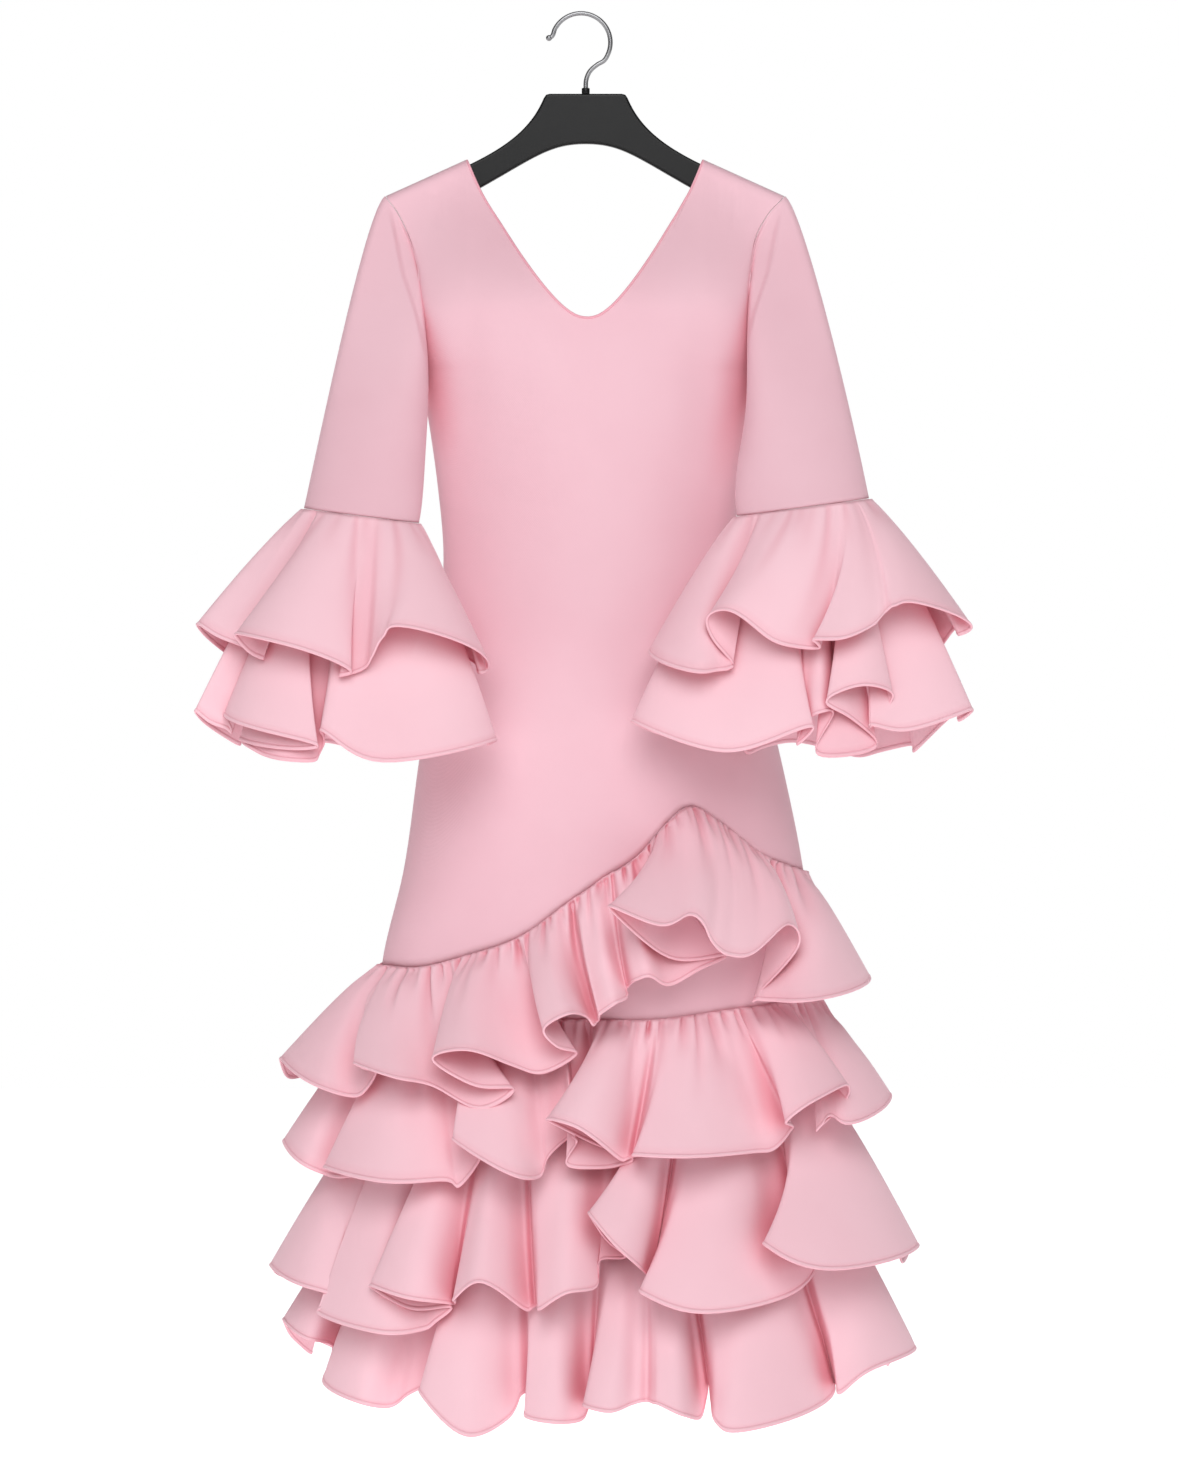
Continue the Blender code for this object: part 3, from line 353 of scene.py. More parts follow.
TIERS = (
    FlouncePattern(
        FOLDS_1,
        BackFolds(6, 956.0, 1066.0, 12.0, 92.0, 56.0, 0.7, 62.0),
        (2.75, 0.145),
        0.26,
        Gathers(10.5, 8.5, 0.36),
    ),
    FlouncePattern(
        FOLDS_2,
        BackFolds(7, 1086.0, 1146.0, 12.0, 82.0, 48.0, 0.35, 24.0),
        (2.55, 0.15),
        0.26,
        Gathers(10.5, 8.0, 0.36),
    ),
    FlouncePattern(FOLDS_3, BackFolds(6, 1246.0, 1266.0, 12.0, 86.0, 54.0), (2.65, 0.19), 0.33),
    FlouncePattern(FOLDS_4, BackFolds(6, 1352.0, 1338.0, 14.0, 66.0, 34.0), (2.4, 0.175), 0.29),
)
CUFF_GATHERS = Gathers(13.0, 1.8, 0.6)
UPPER_BACK = BackFolds(3, 640.0, 636.0, 6.0, 80.0, 54.0)
LOWER_BACK = BackFolds(3, 735.0, 726.0, 6.0, 56.0, 34.0)
CUFF_RIGHT = Cuff(
    -223.5,
    -105.0,
    57.5,
    37.0,
    497.5,
    0.13,
    -0.115,
    -0.12,
    FlouncePattern(UPPER_RIGHT, UPPER_BACK, (0.95, 0.155), 0.090, CUFF_GATHERS),
    FlouncePattern(LOWER_RIGHT, LOWER_BACK, (1.15, 0.235), 0.152, lift=0.0),
)
CUFF_LEFT = Cuff(
    218.0,
    -105.0,
    66.0,
    38.0,
    489.0,
    -0.136,
    0.02,
    -0.12,
    FlouncePattern(UPPER_LEFT, UPPER_BACK, (0.95, 0.155), 0.090, CUFF_GATHERS),
    FlouncePattern(LOWER_LEFT, LOWER_BACK, (1.15, 0.235), 0.152, lift=0.0),
)

# --- How a hem runs through its folds ---------------------------------------------------
SHARES = (0.16, 0.42, 0.68, 0.84, 0.94, 1.0)
BACK_HEM = (
    BackPoint(0.28, -0.06, 0.5, 0.0),
    BackPoint(0.5, 0.0, 1.0, -1.0),
    BackPoint(0.72, 0.06, 0.5, 0.0),
    BackPoint(1.0, 0.0, 0.0, 1.0),
)
UNEVEN = (0.0, 0.12, -0.08, 0.05, -0.12, -0.04, -0.1)
LAST_SHARE = 0.96
SIDE_BLEND = 0.75
SIDE_SINE = 0.995
SIDE_TUCK_TURN = 0.05
DIP_SHARE = 0.6
SIDE_RISE = 0.8


# --- Geometry helpers -------------------------------------------------------------------
def place(x: Array, y: Array, drop: Array) -> Array:
    """Turn pattern places into points of the model.

    What hangs nearer to the viewer is drawn in towards the line of sight, so that the
    outline keeps the pattern's sizes.

    Args:
        x: Places to the right, in millimetres.
        y: Places away from the viewer, in millimetres.
        drop: Levels below the pattern's zero, in millimetres.

    Returns:
        Points in metres, with x, y and z in the last axis.
    """
    x, y, drop = np.broadcast_arrays(x, y, drop)
    right = (x - ORIGIN_X) * MM
    away = y * MM
    up = (ORIGIN_DROP - drop) * MM
    sight = 1.0 + np.minimum(away, 0.0) / VIEW_DISTANCE
    return np.stack((VIEW_X + (right - VIEW_X) * sight, away, VIEW_Z + (up - VIEW_Z) * sight), -1)


def mix(start: Array, end: Array, share: Array) -> Array:
    """Give the value a share of the way from start to end."""
    return start + (end - start) * share


def smooth(share: Array) -> Array:
    """Ease a share at both ends."""
    share = np.clip(share, 0.0, 1.0)
    return share * share * (3.0 - 2.0 * share)


def hermite(share: Array, start: Array, end: Array, leave: Array, arrive: Array) -> Array:
    """Run smoothly from one place to another.

    Args:
        share: How far along.
        start: The first place.
        end: The last place.
        leave: How it leaves the first.
        arrive: How it comes to the last.

    Returns:
        The place at each share.
    """
    return (
        (2 * share**3 - 3 * share**2 + 1) * start
        + (share**3 - 2 * share**2 + share) * leave
        + (3 * share**2 - 2 * share**3) * end
        + (share**3 - share**2) * arrive
    )


def bezier(control: Sequence[Array], share: Array) -> Array:
    """Draw a cubic curve.

    Args:
        control: Its four control points.
        share: How far along.

    Returns:
        The place at each share.
    """
    start, first, second, end = control
    rest = 1.0 - share
    return rest**3 * start + 3 * rest**2 * share * first + 3 * rest * share**2 * second + share**3 * end


def cycle(number: int, stride: int, steps: int) -> float:
    """Give an uneven share from 0 to 1 that comes round again after some steps."""
    return (number * stride) % steps / (steps - 1)


def curve(keys: Sequence[float], values: Sequence[float]) -> Curve:
    """Make a smooth curve through a table.

    Args:
        keys: The rising keys of the table.
        values: The value at each key.

    Returns:
        A function that reads the curve at an array of keys and is flat past its ends.
    """
    at = np.asarray(keys, float)
    value = np.asarray(values, float)
    step = np.diff(at)
    slope = np.diff(value) / step
    lean = np.empty_like(value)
    lean[0], lean[-1] = slope[0], slope[-1]
    lean[1:-1] = (slope[:-1] * step[1:] + slope[1:] * step[:-1]) / (step[:-1] + step[1:])

    def read(key: Array) -> Array:
        """Read the curve.

        Args:
            key: The keys to read it at.

        Returns:
            The value at each key.
        """
        key = np.clip(np.asarray(key, float), at[0], at[-1])
        low = np.clip(np.searchsorted(at, key, side="right") - 1, 0, len(at) - 2)
        run = step[low]
        share = (key - at[low]) / run
        return hermite(share, value[low], value[low + 1], run * lean[low], run * lean[low + 1])

    return read


def angle_and_out(x: float, half_width: float, out: float) -> tuple[float, float]:
    """Find the angle in front for an x.

    Args:
        x: The place to the right of the ring's middle.
        half_width: Half the ring's width.
        out: How far out the point stands.

    Returns:
        The angle, and the reach, which is more where the x lies further out.
    """
    if abs(x) > SIDE_SINE * (half_width + out):
        out = abs(x) / SIDE_SINE - half_width
    return math.asin(x / (half_width + out)), out


def normals(points: Array, ring: bool) -> Array:
    """Find the outward normals of a grid of points whose rows run down.

    Args:
        points: The grid, rows by columns by three.
        ring: Whether the columns close on themselves.

    Returns:
        A unit normal for each point.
    """
    if ring:
        across = np.roll(points, -1, 1) - np.roll(points, 1, 1)
    else:
        across = np.gradient(points, axis=1)
    down = np.gradient(points, axis=0)
    normal = np.cross(down, across)
    length = np.linalg.norm(normal, axis=-1, keepdims=True)
    return normal / np.maximum(length, 1e-12)


def grid_faces(rows: int, columns: int, ring: bool) -> Array:
    """List the quads of a grid of points, row by row.

    Args:
        rows: The number of rows of points.
        columns: The number of points in a row.
        ring: Whether the columns close on themselves.

    Returns:
        Four point numbers for each quad.
    """
    across = columns if ring else columns - 1
    row, column = np.meshgrid(np.arange(rows - 1), np.arange(across), indexing="ij")
    after = (column + 1) % columns
    upper = row * columns
    lower = upper + columns
    return np.stack((upper + column, lower + column, lower + after, upper + after), -1).reshape(-1, 4)


def shell(points: Array, ring: bool, proud: Array) -> tuple[Array, Array]:
    """Close a grid of points into a thin wall of cloth.

    Args:
        points: The outer face, rows by columns by three, in metres.
        ring: Whether the columns close on themselves.
        proud: How far each row's wall swells on both faces, in millimetres.

    Returns:
        The points and the quads of the closed wall.
    """
    rows, columns = points.shape[:2]
    normal = normals(points, ring)
    swell = proud[:, None, None] * MM
    outer = points + normal * swell
    inner = points - normal * (WALL * MM + swell)
    count = rows * columns
    face = grid_faces(rows, columns, ring)
    parts = [face, face[:, ::-1] + count]
    column = np.arange(columns if ring else columns - 1)
    after = (column + 1) % columns
    last = (rows - 1) * columns
    parts.append(np.stack((column, after, after + count, column + count), -1))
    parts.append(np.stack((after, column, column + count, after + count), -1) + last)
    if not ring:
        row = np.arange(rows - 1) * columns
        under = row + columns
        parts.append(np.stack((under, row, row + count, under + count), -1))
        parts.append(np.stack((row, under, under + count, row + count), -1) + columns - 1)
    return np.concatenate((outer.reshape(-1, 3), inner.reshape(-1, 3))), np.concatenate(parts)


def sweep(route: Array, rounds: Array, closed: bool) -> tuple[Array, Array]:
    """Sweep a round or flattened section along a route.

    Args:
        route: The middle points, in metres.
        rounds: The section's points about each middle, sides by two, or per point.
        closed: Whether the route closes on itself.

    Returns:
        The points and the quads of the swept tube, open at its ends.
    """
    if closed:
        along = np.roll(route, -1, 0) - np.roll(route, 1, 0)
    else:
        along = np.gradient(route, axis=0)
    along /= np.linalg.norm(along, axis=1, keepdims=True)
    side = np.cross(along, np.array((0.0, 1.0, 0.0)))
    side /= np.linalg.norm(side, axis=1, keepdims=True)
    depth = np.cross(side, along)
    points = (
        route[:, None, :]
        + rounds[..., 0][..., None] * side[:, None, :]
        + rounds[..., 1][..., None] * depth[:, None, :]
    )
    count, sides = points.shape[:2]
    step = np.arange(count if closed else count - 1)[:, None]
    turn = np.arange(sides)[None, :]
    after = (step + 1) % count
    beside = (turn + 1) % sides
    quads = np.stack(
        (step * sides + turn, step * sides + beside, after * sides + beside, after * sides + turn), -1
    )
    return points.reshape(-1, 3), quads.reshape(-1, 4)


def add_piece(
    name: str,
    node: str,
    slot: Slot,
    points: Array,
    faces: Array | list[list[int]],
    surface: bpy.types.Material,
    smooth_angle: float = 180.0,
    edge: Array | None = None,
) -> bpy.types.Object:
    """Put a mesh into the scene, on the fixed body and in place of its solid.

    Args:
        name: The piece's name.
        node: The solid's node that it replaces.
        slot: Its material slot; not used.
        points: Its points, in metres.
        faces: Its faces, as point numbers.
        surface: Its material.
        smooth_angle: Edges sharper than this stay sharp, in degrees.
        edge: How strongly each point takes the stitched edges' deeper colour, and the painted shade in
            fold valleys and pleats.

    Returns:
        The new object.
    """
    mesh = bpy.data.meshes.new(name)
    mesh.from_pydata(points.tolist(), [], faces if isinstance(faces, list) else faces.tolist())
    mesh.validate()
    mesh.shade_smooth()
    if smooth_angle < 180.0:
        mesh.set_sharp_from_angle(angle=math.radians(smooth_angle))
    mesh.materials.append(surface)
    if edge is not None:
        attribute = mesh.attributes.new("edge", "FLOAT", "POINT")
        attribute.data.foreach_set("value", np.asarray(edge, np.float32))
    piece = bpy.data.objects.new(name, mesh)
    bpy.context.scene.collection.objects.link(piece)
    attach(piece, "root")
    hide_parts(node)
    area = sum(face.area for face in mesh.polygons) / 2.0
    LOG.info("%s: %d faces, %.3f square metres a side", name, len(mesh.polygons), area)
    return piece


# --- Finishes ---------------------------------------------------------------------------
class NodeBuilder:
    """A short way to add and join a material's nodes."""

    mix_factor = 0
    mix_first = 6
    mix_second = 7
    mix_result = 2

    def __init__(self, name: str) -> None:
        """Start a material with its Principled shader.

        Args:
            name: The material's name.
        """
        self.material = bpy.data.materials.new(name)
        self.material.use_nodes = True
        self.tree = self.material.node_tree
        self.shader = self.tree.nodes["Principled BSDF"]

    def add(self, kind: str, **sockets: object) -> bpy.types.Node:
        """Add a node and set its sockets.

        Args:
            kind: The node's type.
            **sockets: Values by socket name, with underscores for spaces.

        Returns:
            The new node.
        """
        node = self.tree.nodes.new(kind)
        self.set(node, **sockets)
        return node

    def set(self, node: bpy.types.Node, **sockets: object) -> None:
        """Set a node's sockets by name."""
        for socket, value in sockets.items():
            node.inputs[socket.replace("_", " ")].default_value = value

    def join(self, start: bpy.types.NodeSocket, end: bpy.types.NodeSocket) -> None:
        """Join an output to an input."""
        self.tree.links.new(start, end)

    def texture(self, kind: str, **sockets: object) -> bpy.types.Node:
        """Add a texture that lies in the piece's own space.

        Args:
            kind: The texture node's type.
            **sockets: Values by socket name, with underscores for spaces.

        Returns:
            The new node.
        """
        node = self.add(kind, **sockets)
        self.join(self.add("ShaderNodeTexCoord").outputs["Object"], node.inputs["Vector"])
        return node

    def noise(self, **sockets: object) -> bpy.types.NodeSocket:
        """Add a noise texture and give its level."""
        return self.texture("ShaderNodeTexNoise", **sockets).outputs["Fac"]

    def spread(self, level: bpy.types.NodeSocket, **limits: float) -> bpy.types.NodeSocket:
        """Spread a level between new limits.

        Args:
            level: The level.
            **limits: The old and the new limits, by socket name.

        Returns:
            The new level.
        """
        node = self.add("ShaderNodeMapRange", **limits)
        self.join(level, node.inputs["Value"])
        return node.outputs["Result"]

    def blend(
        self, share: bpy.types.NodeSocket, first: bpy.types.NodeSocket | Colour, second: Colour
    ) -> bpy.types.NodeSocket:
        """Blend a colour into another.

        Args:
            share: How much of the second shows.
            first: The colour below, fixed or from a node.
            second: The colour on top.

        Returns:
            The blended colour.
        """
        node = self.add("ShaderNodeMix")
        node.data_type = "RGBA"
        self.join(share, node.inputs[self.mix_factor])
        if isinstance(first, tuple):
            node.inputs[self.mix_first].default_value = first
        else:
            self.join(first, node.inputs[self.mix_first])
        node.inputs[self.mix_second].default_value = second
        return node.outputs[self.mix_result]

    def bump(
        self,
        height: bpy.types.NodeSocket,
        strength: float,
        distance: float,
        normal: bpy.types.NodeSocket | None = None,
    ) -> bpy.types.NodeSocket:
        """Raise the surface a little.

        Args:
            height: The level that raises it.
            strength: How strongly it shows.
            distance: How far it rises, in metres.
            normal: A finer relief that it lies on.

        Returns:
            The new normal.
        """
        node = self.add("ShaderNodeBump", Strength=strength, Distance=distance)
        self.join(height, node.inputs["Height"])
        if normal:
            self.join(normal, node.inputs["Normal"])
        return node.outputs["Normal"]

    def finish(self, **levels: bpy.types.NodeSocket) -> bpy.types.Material:
        """Join levels to the shader.

        Args:
            **levels: Levels by the shader's socket name, with underscores for spaces.

        Returns:
            The finished material.
        """
        for socket, level in levels.items():
            self.join(level, self.shader.inputs[socket.replace("_", " ")])
        return self.material


@dataclass(frozen=True)
class CrepeFinish:
    """Matte crepe: a grainy, softly uneven surface with a faint sheen.

    The red mixed into hollows is painted shade: an ambient occlusion node lays it where cloth lies close
    to cloth, within a short reach. The hem colour, laid on by the edge attribute, deepens the stitched
    edges and also paints shade into fold valleys and pleats.
    """

    name: str
    colour: Colour
    deep: Colour
    # Painted shade: the deeper red mixed in where cloth lies close to cloth.
    painted_hollow_shade: Colour = (0.74, 0.22, 0.28, 1.0)
    # Deeper colour of the stitched edges, also laid on as painted shade in fold valleys and pleats.
    hem: Colour = (0.80, 0.36, 0.43, 1.0)
    sheen_tint: Colour = (1.0, 0.86, 0.9, 1.0)
    painted_shade_reach: float = 0.045
    painted_shade_most: float = 0.95
    painted_shade_samples: int = 6
    roughness: float = 0.82
    sheen: float = 0.25
    grain_scale: float = 1100.0
    yarn_scale: float = 420.0
    slub_scale: float = 60.0
    cloud_scale: float = 7.0
    grain_depth: float = 0.00022
    slub_depth: float = 0.0008

    def make(self) -> bpy.types.Material:
        """Build the material.

        Returns:
            The crepe material, with its colour and grain made by nodes.
        """
        nodes = NodeBuilder(self.name)
        nodes.set(nodes.shader, Roughness=self.roughness, Specular_IOR_Level=0.25)
        nodes.set(nodes.shader, Sheen_Weight=self.sheen, Sheen_Roughness=0.45, Sheen_Tint=self.sheen_tint)
        cloud = nodes.noise(Scale=self.cloud_scale, Detail=3.0)
        cloudy = nodes.spread(cloud, From_Min=0.35, From_Max=0.7)
        # Painted shade: an ambient occlusion node mixes the deeper red in where cloth lies close to
        # cloth; closed is how much of it shows.
        painted_hollow_shade = nodes.add("ShaderNodeAmbientOcclusion", Distance=self.painted_shade_reach)
        painted_hollow_shade.samples = self.painted_shade_samples
        closed = nodes.spread(painted_hollow_shade.outputs["AO"], From_Min=0.8, From_Max=0.2, To_Max=self.painted_shade_most)
        # The edge attribute mixes in the deeper hem colour: the stitched edges, the painted shadow on the
        # hem's stitch line, and painted shade in fold valleys and pleats.
        edge = nodes.add("ShaderNodeAttribute")
        edge.attribute_name = "edge"
        tint = nodes.blend(cloudy, self.colour, self.deep)
        tint = nodes.blend(closed, tint, self.painted_hollow_shade)
        tint = nodes.blend(edge.outputs["Fac"], tint, self.hem)
        grain = nodes.noise(Scale=self.grain_scale, Detail=2.0, Roughness=0.6)
        yarn = nodes.texture("ShaderNodeTexWave", Scale=self.yarn_scale, Distortion=1.5, Detail=1.0)
        yarn.bands_direction = "DIAGONAL"
        weave = nodes.add("ShaderNodeMath")
        weave.operation = "ADD"
        nodes.join(grain, weave.inputs[0])
        nodes.join(yarn.outputs["Fac"], weave.inputs[1])
        fine = nodes.bump(weave.outputs["Value"], 0.35, self.grain_depth)
        slub = nodes.noise(Scale=self.slub_scale, Detail=2.0)
        return nodes.finish(Base_Color=tint, Normal=nodes.bump(slub, 0.25, self.slub_depth, fine))


@dataclass(frozen=True)
class HardFinish:
    """A hard surface with a fine skin and a gloss that varies a little."""

    name: str
    colour: Colour
    metal: float
    skin: float
    haze: float
    gloss: tuple[float, float]
    strength: float
    depth: float
    specular: float = 0.5
    skin_detail: float = 2.0
    skin_roughness: float = 0.5
    haze_detail: float = 3.0
    haze_roughness: float = 0.5

    def make(self) -> bpy.types.Material:
        """Build the material.

        Returns:
            The hard material, with its gloss and skin made by nodes.
        """
        nodes = NodeBuilder(self.name)
        nodes.set(nodes.shader, Base_Color=self.colour, Metallic=self.metal)
        nodes.set(nodes.shader, Specular_IOR_Level=self.specular)
        skin = nodes.noise(Scale=self.skin, Detail=self.skin_detail, Roughness=self.skin_roughness)
        haze = nodes.noise(Scale=self.haze, Detail=self.haze_detail, Roughness=self.haze_roughness)
        gloss = nodes.spread(haze, To_Min=self.gloss[0], To_Max=self.gloss[1])
        return nodes.finish(Roughness=gloss, Normal=nodes.bump(skin, self.strength, self.depth))


# Lit and shaded copies of one crepe: the body's copy is painted darker and the flounces' copy painted
# lighter, standing in for the light that the upturned flounces catch.
CREPE = CrepeFinish("pink_crepe_shaded", (0.835, 0.525, 0.595, 1.0), (0.81, 0.49, 0.56, 1.0), painted_shade_most=0.5)
LIT_FRILL = CrepeFinish("pink_frill_crepe_lit", (0.93, 0.60, 0.67, 1.0), (0.905, 0.565, 0.635, 1.0))
EDGING = CrepeFinish("pink_edging", (0.86, 0.43, 0.50, 1.0), (0.82, 0.38, 0.46, 1.0))
SATIN_PLASTIC = HardFinish(
    "satin_plastic",
    (0.004, 0.004, 0.0045, 1.0),
    metal=0.0,
    skin=900.0,
    haze=22.0,
    gloss=(0.28, 0.42),
    strength=0.2,
    depth=0.00012,
    specular=0.28,
)
DRAWN_STEEL = HardFinish(
    "drawn_steel",
    (0.30, 0.30, 0.31, 1.0),
    metal=1.0,
    skin=260.0,
    haze=260.0,
    gloss=(0.26, 0.46),
    strength=0.03,
    depth=0.00005,
    skin_detail=4.0,
    skin_roughness=0.7,
    haze_detail=4.0,
    haze_roughness=0.7,
)


@dataclass
class Finishes:
    """The materials of the whole part, each made once."""

    # crepe is the copy painted darker, frill the copy painted lighter.
    crepe: bpy.types.Material = field(default_factory=CREPE.make)
    frill: bpy.types.Material = field(default_factory=LIT_FRILL.make)
    edging: bpy.types.Material = field(default_factory=EDGING.make)
    plastic: bpy.types.Material = field(default_factory=SATIN_PLASTIC.make)
    steel: bpy.types.Material = field(default_factory=DRAWN_STEEL.make)


# --- The forms that cloth hangs round ---------------------------------------------------
class Trunk:
    """The body as a stack of ellipses, in an angle round it and a distance out from it."""

    def __init__(self) -> None:
        """Make the body's side lines and depth into smooth curves."""
        drops = [section.drop for section in BODY]
        self.left = curve(drops, [section.left for section in BODY])
        self.right = curve(drops, [section.right for section in BODY])
        self.depth = curve(drops, [section.depth for section in BODY])

    def half_width(self, drop: Array) -> Array:
        """Give half the width at a level."""
        return (self.right(drop) - self.left(drop)) / 2.0

    def middle(self, drop: Array) -> Array:
        """Give the middle of the width at a level."""
        return (self.right(drop) + self.left(drop)) / 2.0

    def point(self, angle: Array, out: Array, drop: Array) -> Array:
        """Give the point at an angle, 0 in front and rising to the right.

        Args:
            angle: The angle round the body.
            out: How far out from the body it stands.
            drop: Its level.

        Returns:
            The points, in metres.
        """
        x = self.middle(drop) + (self.half_width(drop) + out) * np.sin(angle)
        return place(x, -(self.depth(drop) + out) * np.cos(angle), drop)

    def turn(self, x: float, out: float, drop: float) -> tuple[float, float]:
        """Give the angle and reach in front for an x at a level."""
        return angle_and_out(x - float(self.middle(drop)), float(self.half_width(drop)), out)


@dataclass
class CuffTrunk:
    """A sleeve's end carried on downwards, for the flounces that hang from it."""

    cuff: Cuff
    depth_share: float = 0.62
    gap: float = 0.4

    def fall(self, drop: Array) -> Array:
        """Give how far a level lies below the cuff's seam."""
        return np.maximum(drop - self.cuff.drop, 0.0)

    def middle(self, drop: Array) -> Array:
        """Give the middle of the width at a level."""
        return self.cuff.middle + self.cuff.swing_x * self.fall(drop)

    def point(self, angle: Array, out: Array, drop: Array) -> Array:
        """Give the point at an angle, 0 in front and rising to the right.

        Args:
            angle: The angle round the cuff.
            out: How far out from the cuff it stands.
            drop: Its level.

        Returns:
            The points, in metres.
        """
        x = self.middle(drop) + (self.cuff.half_width + out) * np.sin(angle)
        y = self.cuff.forward + self.cuff.swing_y * self.fall(drop)
        y = y - (self.cuff.half_depth + self.depth_share * out) * np.cos(angle)
        return place(x, y, drop)

    def turn(self, x: float, out: float, drop: float) -> tuple[float, float]:
        """Give the angle and reach in front for an x at a level."""
        return angle_and_out(x - float(self.middle(drop)), self.cuff.half_width, out)

    def seam_drop(self, angle: Array) -> Array:
        """Give the level of the slanting seam at an angle."""
        slope = self.cuff.tilt * self.cuff.half_width * np.sin(angle)
        return self.cuff.drop + self.gap + slope


@dataclass
class TrunkSeam:
    """A seam round the body: its front table, closed by an even slope round the back."""

    trunk: Trunk
    knots: tuple[Knot, ...]
    settle_steps: int = 8

    def __call__(self, angle: Array) -> Array:
        """Give the level of the seam at each angle.

        Args:
            angle: Angles round the body.

        Returns:
            The seam's levels.
        """
        line = curve([knot.x for knot in self.knots], [knot.drop for knot in self.knots])
        angle = (np.asarray(angle, float) + QUARTER_TURN) % FULL_TURN - QUARTER_TURN
        front = np.minimum(angle, QUARTER_TURN)
        drop = np.full_like(angle, mix(self.knots[0].drop, self.knots[-1].drop, 0.5))
        for _ in range(self.settle_steps):
            x = self.trunk.middle(drop) + self.trunk.half_width(drop) * np.sin(front)
            drop = line(x)
        behind = mix(self.knots[-1].drop, self.knots[0].drop, smooth(angle / HALF_TURN - 0.5))
        return np.where(angle > QUARTER_TURN, behind, drop)


